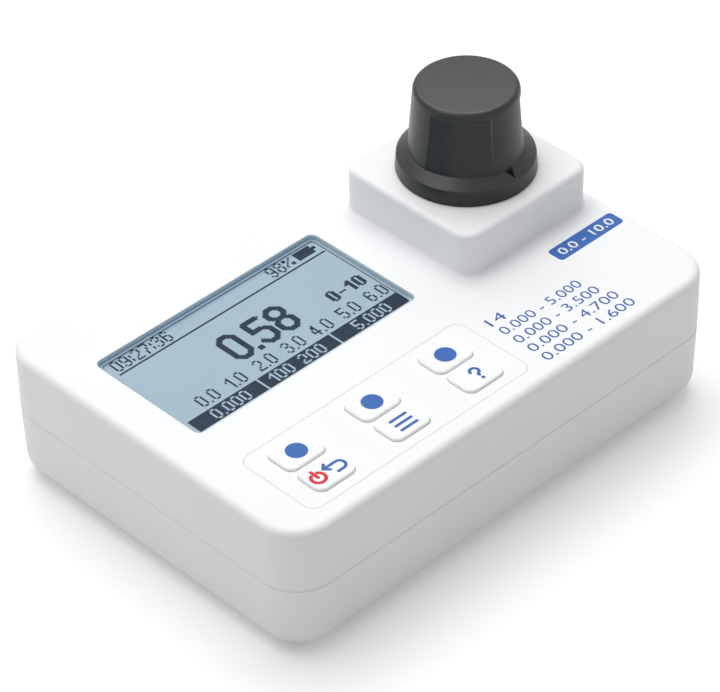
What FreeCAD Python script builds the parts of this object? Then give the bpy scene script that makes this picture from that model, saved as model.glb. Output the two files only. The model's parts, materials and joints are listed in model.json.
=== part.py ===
"""Portable photometer: a hand-held case with a display, a keypad and a covered sample well.

Millimetres, +Z up, X along the display, Y to the back. The origin is on the table, under the
middle of the case. Each sub-part is an object whose label is its file's name.
"""
import FreeCAD, Part
import math
import os
import re
import Sketcher
from FreeCAD import Rotation, Vector

# Driving sizes, in millimetres and degrees
SIZES = {
    # case shells
    "case_length": 142.5,
    "case_width": 102.5,
    "case_corner": 10.7,
    "foot_height": 2.5,
    "lower_height": 18.1,
    "upper_height": 17.7,
    "wall": 3.0,
    "roof": 2.4,
    "floor_wall": 3.2,
    "lower_taper": 0.54,
    "top_edge": 2.0,
    "bottom_edge": 4.0,
    "seam_chamfer": 0.3,
    # square boss round the sample well
    "boss_side": 44.0,
    "boss_margin": 2.95,
    "boss_y": 10.0,
    "boss_height": 12.0,
    "boss_corner": 5.0,
    "boss_edge": 1.5,
    "boss_foot": 0.9,
    "boss_wall": 3.0,
    "boss_roof": 2.2,
    # tongue, groove and gasket in the seam
    "groove_width": 1.3,
    "groove_depth": 1.4,
    "tongue_height": 0.6,
    "groove_gap": 0.1,
    # corner posts and the screws that close the case
    "post_inset_x": 5.85,
    "post_inset_y": 8.25,
    "post_radius": 3.2,
    "column_radius": 3.9,
    "case_screw_radius": 1.45,
    "case_screw_grip": 9.0,
    "case_head_radius": 2.5,
    "case_head_height": 2.0,
    "counterbore_depth": 8.0,
    "head_gap": 0.25,
    "thread_gap": 0.05,
    "pilot_reserve": 1.0,
    # rubber feet
    "foot_inset_x": 19.25,
    "foot_inset_y": 10.75,
    "foot_radius": 5.5,
    "foot_sink": 1.0,
    "foot_gap": 0.1,
    # display window, which fills the deck between the left margin and the gap before the boss
    "window_margin": 11.18,
    "window_gap": 13.17,
    "window_width": 36.8,
    "window_y": 10.45,
    "window_corner": 2.0,
    "window_sink": 0.2,
    "window_thick": 1.0,
    "window_ledge": 0.8,
    "window_bevel": 0.2,
    "trim_gap": 0.1,
    # liquid crystal cell, backlight and frame
    "glass_gap": 0.2,
    "glass_side_gap": 0.3,
    "back_glass_reach_x": 2.4,
    "back_glass_reach_y": 2.6,
    "back_glass_thick": 1.1,
    "light_inset": 1.0,
    "light_thick": 2.6,
    "frame_gap": 0.2,
    "frame_wall": 1.8,
    "shelf_thick": 1.2,
    "shelf_width": 7.0,
    # keypad, as long as the window and in line with it
    "keypad_width": 24.7,
    "keypad_margin": 5.42,
    "keypad_corner": 3.0,
    "key_length": 12.2,
    "key_width": 9.0,
    "key_corner": 2.4,
    "key_inset_x": 5.28,
    "key_space_y": 0.8,
    "key_rise": 0.7,
    "key_travel": 0.7,
    "key_gap": 0.1,
    "key_edge": 0.55,
    "key_flange": 0.5,
    "key_flange_thick": 1.1,
    "key_float": 0.3,
    "press_gap": 0.1,
    "mat_flange": 1.2,
    "mat_flange_thick": 1.2,
    "contact_radius": 3.0,
    "contact_film": 0.05,
    # circuit boards
    "circuit_thick": 1.6,
    "ear_reach": 4.5,
    "ear_radius": 2.8,
    "small_boss_radius": 2.4,
    "small_screw_radius": 0.95,
    "small_head_radius": 1.9,
    "small_head_height": 1.4,
    "board_drop": 6.3,
    "board_end_gap": 4.35,
    "board_side_gap": 4.45,
    "board_boss_gap": 1.8,
    "notch_length": 6.4,
    "notch_width": 8.3,
    "hole_inset_left": 3.5,
    "hole_inset_right": 4.5,
    "hole_inset_back": 4.8,
    "hole_inset_front": 3.3,
    "hole_inset_side": 2.7,
    "side_hole_lead": 8.98,
    "chip_pitch": 18.0,
    "chip_inset": 8.8,
    "processor_side": 10.0,
    "memory_side": 6.0,
    "driver_side": 7.0,
    "chip_thick": 1.2,
    "buzzer_radius": 6.0,
    "buzzer_height": 3.2,
    "buzzer_x": 0.0,
    "buzzer_inset": 6.5,
    "connector_length": 20.0,
    "connector_width": 4.0,
    "connector_lead": 10.98,
    # optics block with the sample well
    "well_gap": 0.4,
    "tube_wall": 2.3,
    "tube_sink": 0.2,
    "tube_gap": 0.2,
    "tube_floor": 2.2,
    "tube_foot_gap": 0.5,
    "shoulder_gap": 1.2,
    "shoulder_thick": 2.5,
    "well_seal_thick": 0.5,
    "well_seal_gap": 0.3,
    "plate_length": 40.0,
    "plate_post_gap": 0.3,
    "plate_corner": 4.0,
    "plate_thick": 2.4,
    "plate_drop": 2.5,
    "plate_hole_inset_x": 4.5,
    "plate_hole_inset_y": 3.5,
    "plate_boss_radius": 3.0,
    "beam_height": 11.6,
    "barrel_radius": 7.0,
    "bore_radius": 5.5,
    "aperture_radius": 3.2,
    "source_end": 44.0,
    "detector_end": 26.0,
    "bore_shoulder": 1.5,
    "end_flange_length": 21.0,
    "end_flange_height": 16.0,
    "end_flange_thick": 2.5,
    "end_hole_x": 8.6,
    # optical parts
    "optic_gap": 0.05,
    "lens_thick": 3.0,
    "lens_sphere": 9.0,
    "collimator_y": 32.0,
    "filter_y": 28.2,
    "filter_thick": 3.0,
    "splitter_y": 21.0,
    "splitter_radius": 5.1,
    "splitter_thick": 1.0,
    "focus_y": 17.0,
    "emitter_radius": 2.5,
    "emitter_length": 5.0,
    "emitter_rim": 0.4,
    "emitter_rim_thick": 1.0,
    "detector_radius": 4.1,
    "detector_length": 3.5,
    "detector_rim": 0.5,
    "detector_rim_thick": 0.6,
    "reference_radius": 2.4,
    "reference_length": 4.0,
    # battery compartment
    "battery_side_gap": 2.11,
    "battery_y": 0.0,
    "cell_radius": 7.1,
    "cell_length": 50.5,
    "cell_nub_radius": 2.7,
    "cell_nub_length": 1.5,
    "cell_space": 0.8,
    "cell_clearance": 2.4,
    "cell_headroom": 0.3,
    "ring_clearance": 0.42,
    "ring_wall": 2.0,
    "ring_boss_reach": 1.9,
    "ring_boss_radius": 3.0,
    "holder_thick": 1.5,
    "rib_thick": 0.5,
    "rib_inset": 2.25,
    "end_wall_gap": 2.65,
    "end_wall_thick": 1.2,
    "end_wall_inset": 0.6,
    "end_wall_depth": 13.6,
    "holder_screw_grip": 7.0,
    "strip_thick": 0.4,
    "strip_height": 10.0,
    "strip_width": 9.0,
    "strip_touch": 0.1,
    # battery cover, turned by a coin
    "cover_reach": 0.4,
    "cover_gap": 0.3,
    "cover_recess": 1.6,
    "cover_seat_gap": 0.1,
    "skirt_inset": 2.1,
    "skirt_wall": 1.3,
    "lug_reach": 1.7,
    "lug_width": 7.0,
    "lug_gap": 0.15,
    "lug_height": 1.5,
    "lug_play": 0.6,
    "cover_turn": 40.0,
    "coin_length": 24.0,
    "coin_width": 2.4,
    "coin_depth": 0.9,
    "cover_rib_thick": 1.2,
    "cover_hub_radius": 8.0,
    "cover_seal_inset": 1.4,
    "cover_seal_width": 1.1,
    "cover_seal_depth": 0.7,
    # sample cuvette and its stopper
    "cuvette_radius": 12.3,
    "cuvette_wall": 1.0,
    "cuvette_floor": 1.5,
    "cuvette_body": 44.4,
    "cuvette_shoulder": 2.0,
    "neck_radius": 8.8,
    "neck_wall": 1.2,
    "neck_height": 6.5,
    "stopper_radius": 11.0,
    "stopper_gap": 0.2,
    "stopper_lift": 0.4,
    "stopper_top": 2.0,
    "stopper_flute": 0.5,
    # light shield cap
    "cap_height": 24.2,
    "flange_radius": 17.65,
    "flange_rim_radius": 17.35,
    "flange_height": 4.3,
    "knob_base": 6.0,
    "knob_base_radius": 14.5,
    "knob_top_radius": 13.1,
    "knob_edge": 1.4,
    "cap_side_gap": 0.9,
    "cap_mouth_gap": 1.5,
    "cap_bore_gap": 0.6,
    "cap_roof": 2.5,
    "grip_depth": 0.7,
    "grip_angle": 70.0,
    "grip_start": 181.0,
    "grip_top": 3.0,
    "index_width": 2.6,
    "index_floor": 4.35,
}

# Sizes that follow from the driving ones
DERIVED = {
    "seam_level": "foot_height + lower_height",
    "roof_level": "seam_level + upper_height",
    "ceiling_level": "roof_level - roof",
    "floor_level": "foot_height + floor_wall",
    "boss_x": "case_length / 2 - boss_margin - boss_side / 2",
    "boss_level": "roof_level + boss_height",
    "boss_ceiling": "boss_level - boss_roof",
    "counterbore_level": "foot_height + counterbore_depth",
    "post_x": "case_length / 2 - post_inset_x",
    "post_y": "case_width / 2 - post_inset_y",
    "foot_x": "case_length / 2 - foot_inset_x",
    "foot_y": "case_width / 2 - foot_inset_y",
    "window_length": "case_length - window_margin - window_gap - boss_side - boss_margin",
    "window_x": "(window_length - case_length) / 2 + window_margin",
    "window_seat": "roof_level - window_sink - window_thick",
    "opening_length": "window_length - 2 * window_ledge",
    "opening_width": "window_width - 2 * window_ledge",
    "back_glass_length": "window_length + 2 * back_glass_reach_x",
    "back_glass_width": "window_width + 2 * back_glass_reach_y",
    "light_length": "back_glass_length - 2 * light_inset",
    "light_width": "back_glass_width - 2 * light_inset",
    "back_glass_level": "ceiling_level - trim_gap",
    "back_glass_bottom": "back_glass_level - back_glass_thick",
    "light_level": "back_glass_bottom - trim_gap",
    "light_bottom": "light_level - light_thick",
    "frame_length": "back_glass_length + 2 * frame_gap",
    "frame_width": "back_glass_width + 2 * frame_gap",
    "keypad_length": "window_length",
    "keypad_y": "(keypad_width - case_width) / 2 + keypad_margin",
    "key_pitch_x": "(keypad_length - key_length) / 2 - key_inset_x",
    "key_pitch_y": "key_width + key_space_y",
    "ear_span": "keypad_length + 2 * ear_reach",
    "board_level": "ceiling_level - board_drop",
    "board_bottom": "board_level - circuit_thick",
    "board_left": "board_end_gap - case_length / 2",
    "board_right": "boss_x - boss_side / 2 - board_boss_gap",
    "board_depth": "case_width - 2 * board_side_gap",
    "board_hole_left": "board_left + notch_length + hole_inset_left",
    "board_hole_right": "board_right - hole_inset_right",
    "board_hole_back": "board_depth / 2 - hole_inset_back",
    "board_hole_front": "hole_inset_front - board_depth / 2",
    "board_hole_side_x": "board_left + hole_inset_side",
    "board_hole_side_y": "keypad_y + side_hole_lead",
    "chip_y": "chip_inset - board_depth / 2",
    "buzzer_y": "board_depth / 2 - buzzer_inset",
    "connector_y": "keypad_y + connector_lead",
    "mat_bottom": "ceiling_level - mat_flange_thick",
    "key_flange_bottom": "mat_bottom + key_travel + press_gap",
    "key_flange_top": "key_flange_bottom + key_flange_thick",
    "key_cavity_top": "key_flange_top + key_float",
    "keypad_board_bottom": "mat_bottom - circuit_thick",
    "well_floor_level": "floor_level + tube_foot_gap + tube_floor",
    "well_radius": "cuvette_radius + well_gap",
    "tube_radius": "well_radius + tube_wall",
    "shoulder_radius": "boss_side / 2 - boss_wall - shoulder_gap",
    "shoulder_level": "boss_ceiling - well_seal_thick",
    "plate_level": "ceiling_level - plate_drop",
    "plate_width": "2 * (post_y - post_radius - plate_post_gap - boss_y)",
    "plate_hole_x": "plate_length / 2 - plate_hole_inset_x",
    "plate_hole_y": "plate_width / 2 - plate_hole_inset_y",
    "beam_level": "well_floor_level + beam_height",
    "optic_radius": "bore_radius - optic_gap",
    "cell_level": "floor_level + cell_clearance + cell_radius",
    "holder_level": "cell_level + cell_radius + cell_headroom",
    "cell_pitch": "2 * cell_radius + cell_space",
    "rib_length": "cell_length - 2 * rib_inset",
    "end_wall_y": "cell_length / 2 + end_wall_gap",
    "end_wall_length": "2 * (cell_pitch + cell_radius - end_wall_inset)",
    "ring_radius": "sqrt((end_wall_length / 2) ^ 2 + (end_wall_y + end_wall_thick) ^ 2) + ring_clearance",
    "ring_outer": "ring_radius + ring_wall",
    "ring_boss_centre": "ring_outer + ring_boss_reach",
    "battery_x": "wall + lower_taper + battery_side_gap + ring_outer - case_length / 2",
    "cover_radius": "ring_radius + cover_reach",
    "skirt_radius": "ring_radius - skirt_inset",
    "cover_seal_radius": "ring_radius - cover_seal_inset",
    "lip_level": "foot_height + cover_recess",
    "disc_level": "lip_level - cover_seat_gap",
    "lug_bottom": "floor_level + lug_gap",
    "lug_top": "lug_bottom + lug_height",
    "cuvette_level": "well_floor_level + cuvette_body",
    "neck_bottom": "cuvette_level + cuvette_shoulder",
    "neck_level": "neck_bottom + neck_height",
    "stopper_bottom": "neck_bottom + stopper_lift",
    "stopper_level": "neck_level + stopper_top",
    "cap_mouth_radius": "cuvette_radius + cap_side_gap",
    "cap_bore_radius": "stopper_radius + cap_bore_gap",
}

TOLERANCE = 0.01

document = FreeCAD.newDocument("photometer")
sheet = document.addObject("Spreadsheet::Sheet", "Sizes")
for row, (alias, value) in enumerate(list(SIZES.items()) + list(DERIVED.items()), start=1):
    text = "=" + value if isinstance(value, str) else str(value)
    sheet.set("A%d" % row, alias.replace("_", " "))
    sheet.set("B%d" % row, text)
    sheet.setAlias("B%d" % row, alias)
document.recompute()

nodes = []


def expression(text):
    """The text with each size's name pointing at the sheet."""
    def point(match):
        word = match.group(0)
        return "Sizes." + word if word in SIZES or word in DERIVED else word
    return re.sub(r"[a-z][a-z0-9_]*", point, str(text))


def number(text):
    """The value of an expression of sizes."""
    value = sheet.evalExpression(str(text))
    return float(getattr(value, "Value", value))


def bind(thing, path, text):
    """Ties one property of an object to the sheet."""
    thing.setExpression(path, expression(text))


def body(label, x="0", y="0", z="0", along_y=False):
    """An empty body at a place; along_y lays its own Z axis along the frame's +Y."""
    made = document.addObject("PartDesign::Body", label)
    made.Label = label
    made.AllowCompound = True
    if along_y:
        made.Placement.Rotation = Rotation(Vector(1, 0, 0), -90)
    bind(made, "Placement.Base.x", x)
    bind(made, "Placement.Base.y", y)
    bind(made, "Placement.Base.z", z)
    nodes.append(made)
    return made


def origin_feature(owner, role):
    """One of the body's own origin planes or axes."""
    return next(item for item in owner.Origin.OriginFeatures if item.Role == role)


def sketch_on(owner, level="0", plane="XY_Plane", x="0", y="0"):
    """A sketch on a plane of the body's own, moved along the plane and off it."""
    made = owner.newObject("Sketcher::SketchObject", owner.Label + "_sketch")
    made.AttachmentSupport = [(origin_feature(owner, plane), "")]
    made.MapMode = "FlatFace"
    bind(made, "AttachmentOffset.Base.x", x)
    bind(made, "AttachmentOffset.Base.y", y)
    bind(made, "AttachmentOffset.Base.z", level)
    return made


def swing(sketch, axis, angle):
    """Turns a sketch about an axis of its own plane's frame."""
    offset = sketch.AttachmentOffset
    offset.Rotation = Rotation(axis, number(angle))
    sketch.AttachmentOffset = offset
    bind(sketch, "AttachmentOffset.Rotation.Angle", angle)


def dimension(sketch, kind, where, text):
    """A dimension of the sketch that follows an expression."""
    value = number(text)
    index = sketch.addConstraint(Sketcher.Constraint(kind, *where, value))
    bind(sketch, "Constraints[%d]" % index, text)


def disc(x, y, radius):
    """A circle as an outline."""
    def draw(sketch):
        centre = Vector(number(x), number(y), 0)
        index = sketch.addGeometry(Part.Circle(centre, Vector(0, 0, 1), number(radius)))
        dimension(sketch, "Radius", (index,), radius)
        dimension(sketch, "DistanceX", (-1, 1, index, 3), x)
        dimension(sketch, "DistanceY", (-1, 1, index, 3), y)
    return draw


def polygon(points):
    """A closed outline through points given as pairs of expressions."""
    def draw(sketch):
        corners = [Vector(number(x), number(y), 0) for x, y in points]
        first = sketch.GeometryCount
        count = len(points)
        for index in range(count):
            sketch.addGeometry(Part.LineSegment(corners[index], corners[(index + 1) % count]))
        for index in range(count):
            following = first + (index + 1) % count
            sketch.addConstraint(Sketcher.Constraint("Coincident", first + index, 2, following, 1))
        for index, (x, y) in enumerate(points):
            dimension(sketch, "DistanceX", (-1, 1, first + index, 1), x)
            dimension(sketch, "DistanceY", (-1, 1, first + index, 1), y)
    return draw


def box(x, y, length, width):
    """A rectangle round a centre."""
    west, east = "%s - (%s) / 2" % (x, length), "%s + (%s) / 2" % (x, length)
    south, north = "%s - (%s) / 2" % (y, width), "%s + (%s) / 2" % (y, width)
    return polygon([(west, south), (east, south), (east, north), (west, north)])


def round_box(x, y, length, width, radius):
    """A rectangle with round corners, round a centre."""
    def draw(sketch):
        middle = Vector(number(x), number(y), 0)
        half_x, half_y, bend = number(length) / 2, number(width) / 2, number(radius)
        first = sketch.GeometryCount
        turn = Rotation(Vector(0, 0, 1), 90)
        reach = Vector(half_x, half_y, 0)
        for side in range(4):
            heading = Rotation(Vector(0, 0, 1), 90 * side)
            across, along = (reach.y, reach.x) if side % 2 == 0 else (reach.x, reach.y)
            start = middle + heading.multVec(Vector(bend - along, -across, 0))
            end = middle + heading.multVec(Vector(along - bend, -across, 0))
            centre = end + heading.multVec(turn.multVec(Vector(bend, 0, 0)))
            circle = Part.Circle(centre, Vector(0, 0, 1), bend)
            low = math.radians(90 * side - 90)
            sketch.addGeometry(Part.LineSegment(start, end))
            sketch.addGeometry(Part.ArcOfCircle(circle, low, low + math.pi / 2))
        for side in range(4):
            line, arc = first + 2 * side, first + 2 * side + 1
            following = first + (2 * side + 2) % 8
            kind = "Horizontal" if side % 2 == 0 else "Vertical"
            sketch.addConstraint(Sketcher.Constraint(kind, line))
            sketch.addConstraint(Sketcher.Constraint("Tangent", line, 2, arc, 1))
            sketch.addConstraint(Sketcher.Constraint("Tangent", arc, 2, following, 1))
            if side > 0:
                sketch.addConstraint(Sketcher.Constraint("Equal", first + 1, arc))
        south, east, north, west = first, first + 2, first + 4, first + 6
        dimension(sketch, "Radius", (first + 1,), radius)
        dimension(sketch, "DistanceX", (west, 1, east, 1), length)
        dimension(sketch, "DistanceY", (south, 1, north, 1), width)
        dimension(sketch, "DistanceX", (-1, 1, west, 1), "%s - (%s) / 2" % (x, length))
        dimension(sketch, "DistanceY", (-1, 1, south, 1), "%s - (%s) / 2" % (y, width))
    return draw


def add(owner, outlines, bottom, top, x="0", y="0"):
    """Adds the space over the outlines between two levels."""
    sketch = sketch_on(owner, bottom, x=x, y=y)
    for outline in outlines:
        outline(sketch)
    feature = owner.newObject("PartDesign::Pad", owner.Label + "_pad")
    feature.Profile = sketch
    bind(feature, "Length", "(%s) - (%s)" % (top, bottom))
    return feature


def cut(owner, outlines, bottom, top, x="0", y="0"):
    """Takes away the space over the outlines between two levels."""
    sketch = sketch_on(owner, top, x=x, y=y)
    for outline in outlines:
        outline(sketch)
    feature = owner.newObject("PartDesign::Pocket", owner.Label + "_pocket")
    feature.Profile = sketch
    bind(feature, "Length", "(%s) - (%s)" % (top, bottom))
    return feature


def run_along_y(owner, outline, start, end, kind):
    """Adds or cuts level along Y, between two distances behind the body's middle."""
    sketch = sketch_on(owner, "-(%s)" % end, plane="XZ_Plane")
    outline(sketch)
    feature = owner.newObject(kind, owner.Label + "_run")
    feature.Profile = sketch
    feature.Reversed = kind == "PartDesign::Pocket"
    bind(feature, "Length", "(%s) - (%s)" % (end, start))
    return feature


def turned(owner, points, kind="PartDesign::Revolution"):
    """Turns a profile of (radius, level) points about the body's own Z axis."""
    sketch = sketch_on(owner, plane="XZ_Plane")
    polygon(points)(sketch)
    feature = owner.newObject(kind, owner.Label + "_turned")
    feature.Profile = sketch
    feature.ReferenceAxis = (sketch, ["V_Axis"])
    feature.Angle = 360
    return feature


def pattern(owner, feature, count, axis_sketch=None):
    """Repeats a feature round the body's Z axis, or round a sketch's own normal."""
    made = owner.newObject("PartDesign::PolarPattern", owner.Label + "_pattern")
    made.Originals = [feature]
    if axis_sketch:
        made.Axis = (axis_sketch, ["N_Axis"])
    else:
        made.Axis = (origin_feature(owner, "Z_Axis"), [""])
    made.Angle = 360
    made.Occurrences = count
    owner.Tip = made
    return made


def dress(owner, kind, size_name, size, chosen):
    """A fillet or chamfer on the chosen edges of the body as it is so far."""
    document.recompute()
    base = owner.Tip
    names = ["Edge%d" % place for place, edge in enumerate(base.Shape.Edges, start=1) if chosen(edge)]
    feature = owner.newObject(kind, owner.Label + "_edge")
    feature.Base = (base, names)
    bind(feature, size_name, size)
    return feature


def fillet(owner, size, chosen):
    """Rounds the chosen edges."""
    return dress(owner, "PartDesign::Fillet", "Radius", size, chosen)


def chamfer(owner, size, chosen):
    """Bevels the chosen edges."""
    return dress(owner, "PartDesign::Chamfer", "Size", size, chosen)


def flat_at(level, keep=lambda edge: True):
    """Picks the edges that lie in one level."""
    height = number(level)

    def chosen(edge):
        bound = edge.BoundBox
        return abs(bound.ZMin - height) < TOLERANCE and abs(bound.ZMax - height) < TOLERANCE and keep(edge)
    return chosen


def primitive(kind, name, sizes, x="0", y="0", z="0", axis=None, angle=0):
    """A plain solid whose sizes and place follow the sheet."""
    made = document.addObject(kind, name)
    for key, text in sizes.items():
        bind(made, key, text)
    if axis:
        made.Placement.Rotation = Rotation(axis, angle)
    bind(made, "Placement.Base.x", x)
    bind(made, "Placement.Base.y", y)
    bind(made, "Placement.Base.z", z)
    return made


def cylinder(name, radius, length, x="0", y="0", z="0", axis=None, angle=0):
    """A plain cylinder from its base upward, or along a turned axis."""
    return primitive("Part::Cylinder", name, {"Radius": radius, "Height": length}, x, y, z, axis, angle)


def fused(name, shapes):
    """One solid of several that overlap or touch."""
    made = document.addObject("Part::MultiFuse", name)
    made.Shapes = shapes
    made.Refine = True
    return made


def group(label, pieces):
    """A node of separate solids."""
    made = document.addObject("Part::Compound", label)
    made.Links = pieces
    made.Label = label
    nodes.append(made)
    return made


def node(made):
    """Marks a plain solid as a sub-part."""
    nodes.append(made)
    return made


SIDES = (-1, 1)
CORNERS = [(x, y) for x in SIDES for y in SIDES]
POSTS = [("%d * post_x" % x, "%d * post_y" % y) for x, y in CORNERS]
FEET = [("%d * foot_x" % x, "%d * foot_y" % y) for x, y in CORNERS]
BOARD_HOLES = [
    ("board_hole_left", "board_hole_back"),
    ("board_hole_right", "board_hole_back"),
    ("board_hole_right", "board_hole_front"),
    ("board_hole_side_x", "board_hole_side_y"),
]
KEYPAD_HOLES = [("window_x + %d * ear_span / 2" % side, "keypad_y") for side in SIDES]
PLATE_HOLES = [
    ("boss_x + %d * plate_hole_x" % x, "boss_y + %d * plate_hole_y" % y) for x, y in CORNERS
]
RING_ANGLES = (0, 120, 240)
RING_HOLES = [
    ("battery_x + ring_boss_centre * cos(%d)" % angle, "battery_y + ring_boss_centre * sin(%d)" % angle)
    for angle in RING_ANGLES
]
KEYS = {
    "key_left": (-1, 1),
    "key_middle": (0, 1),
    "key_right": (1, 1),
    "key_power": (-1, -1),
    "key_menu": (0, -1),
    "key_help": (1, -1),
}


def key_place(name):
    """The middle of a key on the keypad."""
    column, row = KEYS[name]
    return "window_x + %d * key_pitch_x" % column, "keypad_y + %d * key_pitch_y / 2" % row


def seam_ring(width):
    """Two outlines that enclose a strip along the middle of the case wall."""
    outer = round_box("0", "0", "case_length - wall + " + width, "case_width - wall + " + width,
                      "case_corner - wall / 2 + (%s) / 2" % width)
    inner = round_box("0", "0", "case_length - wall - (%s)" % width, "case_width - wall - (%s)" % width,
                      "case_corner - wall / 2 - (%s) / 2" % width)
    return [outer, inner]


def make_top_case():
    """Upper shell: moulded roof with the boss, the window's ledge and the keypad's opening."""
    shell = body("top_case")
    add(shell, [round_box("0", "0", "case_length", "case_width", "case_corner")], "seam_level", "roof_level")
    fillet(shell, "top_edge", flat_at("roof_level"))
    chamfer(shell, "seam_chamfer", flat_at("seam_level"))
    cut(shell, [round_box("0", "0", "case_length - 2 * wall", "case_width - 2 * wall", "case_corner - wall")],
        "seam_level", "ceiling_level")
    add(shell, [round_box("boss_x", "boss_y", "boss_side", "boss_side", "boss_corner")],
        "roof_level", "boss_level")
    reach = number("boss_side / 2") + TOLERANCE
    centre = Vector(number("boss_x"), number("boss_y"), 0)

    def beside_boss(edge):
        away = edge.CenterOfMass - centre
        return abs(away.x) < reach and abs(away.y) < reach
    fillet(shell, "boss_foot", flat_at("roof_level", beside_boss))
    fillet(shell, "boss_edge", flat_at("boss_level"))
    inner_side = "boss_side - 2 * boss_wall"
    cut(shell, [round_box("boss_x", "boss_y", inner_side, inner_side, "boss_corner - boss_wall")],
        "ceiling_level - 0.1", "boss_ceiling")
    for places, radius, level in (
        (POSTS, "post_radius", "seam_level"),
        (BOARD_HOLES, "small_boss_radius", "board_level"),
        (KEYPAD_HOLES, "small_boss_radius", "mat_bottom"),
        (PLATE_HOLES, "plate_boss_radius", "plate_level"),
    ):
        add(shell, [disc(x, y, radius) for x, y in places], level, "ceiling_level + roof / 2")
    cut(shell, [disc(x, y, "case_screw_radius + thread_gap") for x, y in POSTS],
        "seam_level", "seam_level + case_screw_grip + pilot_reserve")
    for places, level in ((BOARD_HOLES, "board_level"), (KEYPAD_HOLES, "mat_bottom"),
                          (PLATE_HOLES, "plate_level")):
        cut(shell, [disc(x, y, "small_screw_radius + thread_gap") for x, y in places],
            level, "roof_level - pilot_reserve")
    add(shell, seam_ring("(groove_width - 2 * groove_gap)"), "seam_level - tongue_height", "seam_level")
    cut(shell, [round_box("window_x", "window_y", "window_length + 2 * trim_gap",
                          "window_width + 2 * trim_gap", "window_corner + trim_gap")],
        "window_seat", "roof_level + 0.1")
    cut(shell, [round_box("window_x", "window_y", "opening_length", "opening_width", "window_corner / 2")],
        "ceiling_level - 0.1", "roof_level")
    cut(shell, [round_box("window_x", "keypad_y", "keypad_length + 2 * trim_gap",
                          "keypad_width + 2 * trim_gap", "keypad_corner + trim_gap")],
        "ceiling_level - 0.1", "roof_level + 0.1")
    cut(shell, [disc("boss_x", "boss_y", "tube_radius + tube_gap")],
        "boss_ceiling - 0.1", "boss_level + 0.1")


def draft(owner, angle, neutral_level, sides_from):
    """Leans the upright faces of the body inwards, below a level that keeps its outline."""
    document.recompute()
    base = owner.Tip
    neutral, sides = None, []
    for place, face in enumerate(base.Shape.Faces, start=1):
        bound = face.BoundBox
        if abs(bound.ZMin - number(neutral_level)) < TOLERANCE:
            neutral = "Face%d" % place
        elif bound.ZMax - bound.ZMin > number(sides_from):
            sides.append("Face%d" % place)
    feature = owner.newObject("PartDesign::Draft", owner.Label + "_draft")
    feature.Base = (base, sides)
    feature.NeutralPlane = (base, [neutral])
    feature.Reversed = True
    bind(feature, "Angle", angle)
    return feature


def make_bottom_case():
    """Lower shell: drafted tub with screw columns, the battery ring and the bayonet's lip."""
    shell = body("bottom_case")
    add(shell, [round_box("0", "0", "case_length", "case_width", "case_corner")], "foot_height", "seam_level")
    draft(shell, "atan(lower_taper / lower_height)", "seam_level", "lower_height / 2")
    fillet(shell, "bottom_edge", flat_at("foot_height"))
    chamfer(shell, "seam_chamfer", flat_at("seam_level"))
    inset = "(wall + lower_taper)"
    cut(shell, [round_box("0", "0", "case_length - 2 * " + inset, "case_width - 2 * " + inset,
                          "case_corner - " + inset)], "floor_level", "seam_level")
    add(shell, [disc(x, y, "column_radius") for x, y in POSTS], "foot_height + floor_wall / 2", "seam_level")
    cut(shell, [disc(x, y, "case_head_radius + head_gap") for x, y in POSTS],
        "foot_height", "counterbore_level")
    cut(shell, [disc(x, y, "case_screw_radius + head_gap") for x, y in POSTS],
        "counterbore_level", "seam_level")
    cut(shell, [disc(x, y, "foot_radius + foot_gap") for x, y in FEET],
        "foot_height", "foot_height + foot_sink")
    cut(shell, seam_ring("groove_width"), "seam_level - groove_depth", "seam_level")
    add(shell, [disc("battery_x", "battery_y", "ring_outer"), disc("battery_x", "battery_y", "ring_radius")],
        "foot_height + floor_wall / 2", "holder_level")
    add(shell, [disc(x, y, "ring_boss_radius") for x, y in RING_HOLES],
        "foot_height + floor_wall / 2", "holder_level")
    cut(shell, [disc("battery_x", "battery_y", "ring_radius")], "floor_level", "holder_level")
    cut(shell, [disc(x, y, "small_screw_radius + thread_gap") for x, y in RING_HOLES],
        "holder_level - holder_screw_grip - pilot_reserve", "holder_level")
    cut(shell, [disc("battery_x", "battery_y", "cover_radius + cover_gap")], "foot_height", "lip_level")
    cut(shell, [disc("battery_x", "battery_y", "skirt_radius + cover_gap")], "foot_height", "floor_level")
    near, far = "skirt_radius - skirt_wall", "skirt_radius + lug_reach + lug_play"
    half = "(lug_width / 2 + lug_play)"
    slot = cut(shell, [polygon([(near, "-" + half), (far, "-" + half), (far, half), (near, half)])],
               "lip_level", "floor_level", x="battery_x", y="battery_y")
    slot_sketch = slot.Profile[0]
    swing(slot_sketch, Vector(0, 0, -1), "cover_turn")
    pattern(shell, slot, 3, slot_sketch)


def make_case_gasket():
    """Gasket that fills the groove under the tongue."""
    ring = body("case_gasket")
    add(ring, seam_ring("(groove_width - 2 * groove_gap)"),
        "seam_level - groove_depth", "seam_level - tongue_height")


def make_case_screws():
    """Four screws that rise through the lower columns into the upper posts."""
    screws = []
    for index, (x, y) in enumerate(POSTS, start=1):
        head = cylinder("case_head_%d" % index, "case_head_radius", "case_head_height",
                        x, y, "counterbore_level - case_head_height")
        shank = cylinder("case_shank_%d" % index, "case_screw_radius",
                         "seam_level + case_screw_grip - counterbore_level", x, y, "counterbore_level")
        screws.append(fused("case_screw_%d" % index, [head, shank]))
    group("case_screws", screws)


def make_rubber_feet():
    """Four feet pressed into the seats of the lower shell."""
    feet = []
    for index, (x, y) in enumerate(FEET, start=1):
        feet.append(cylinder("rubber_foot_%d" % index, "foot_radius", "foot_height + foot_sink", x, y))
    group("rubber_feet", feet)


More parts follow.
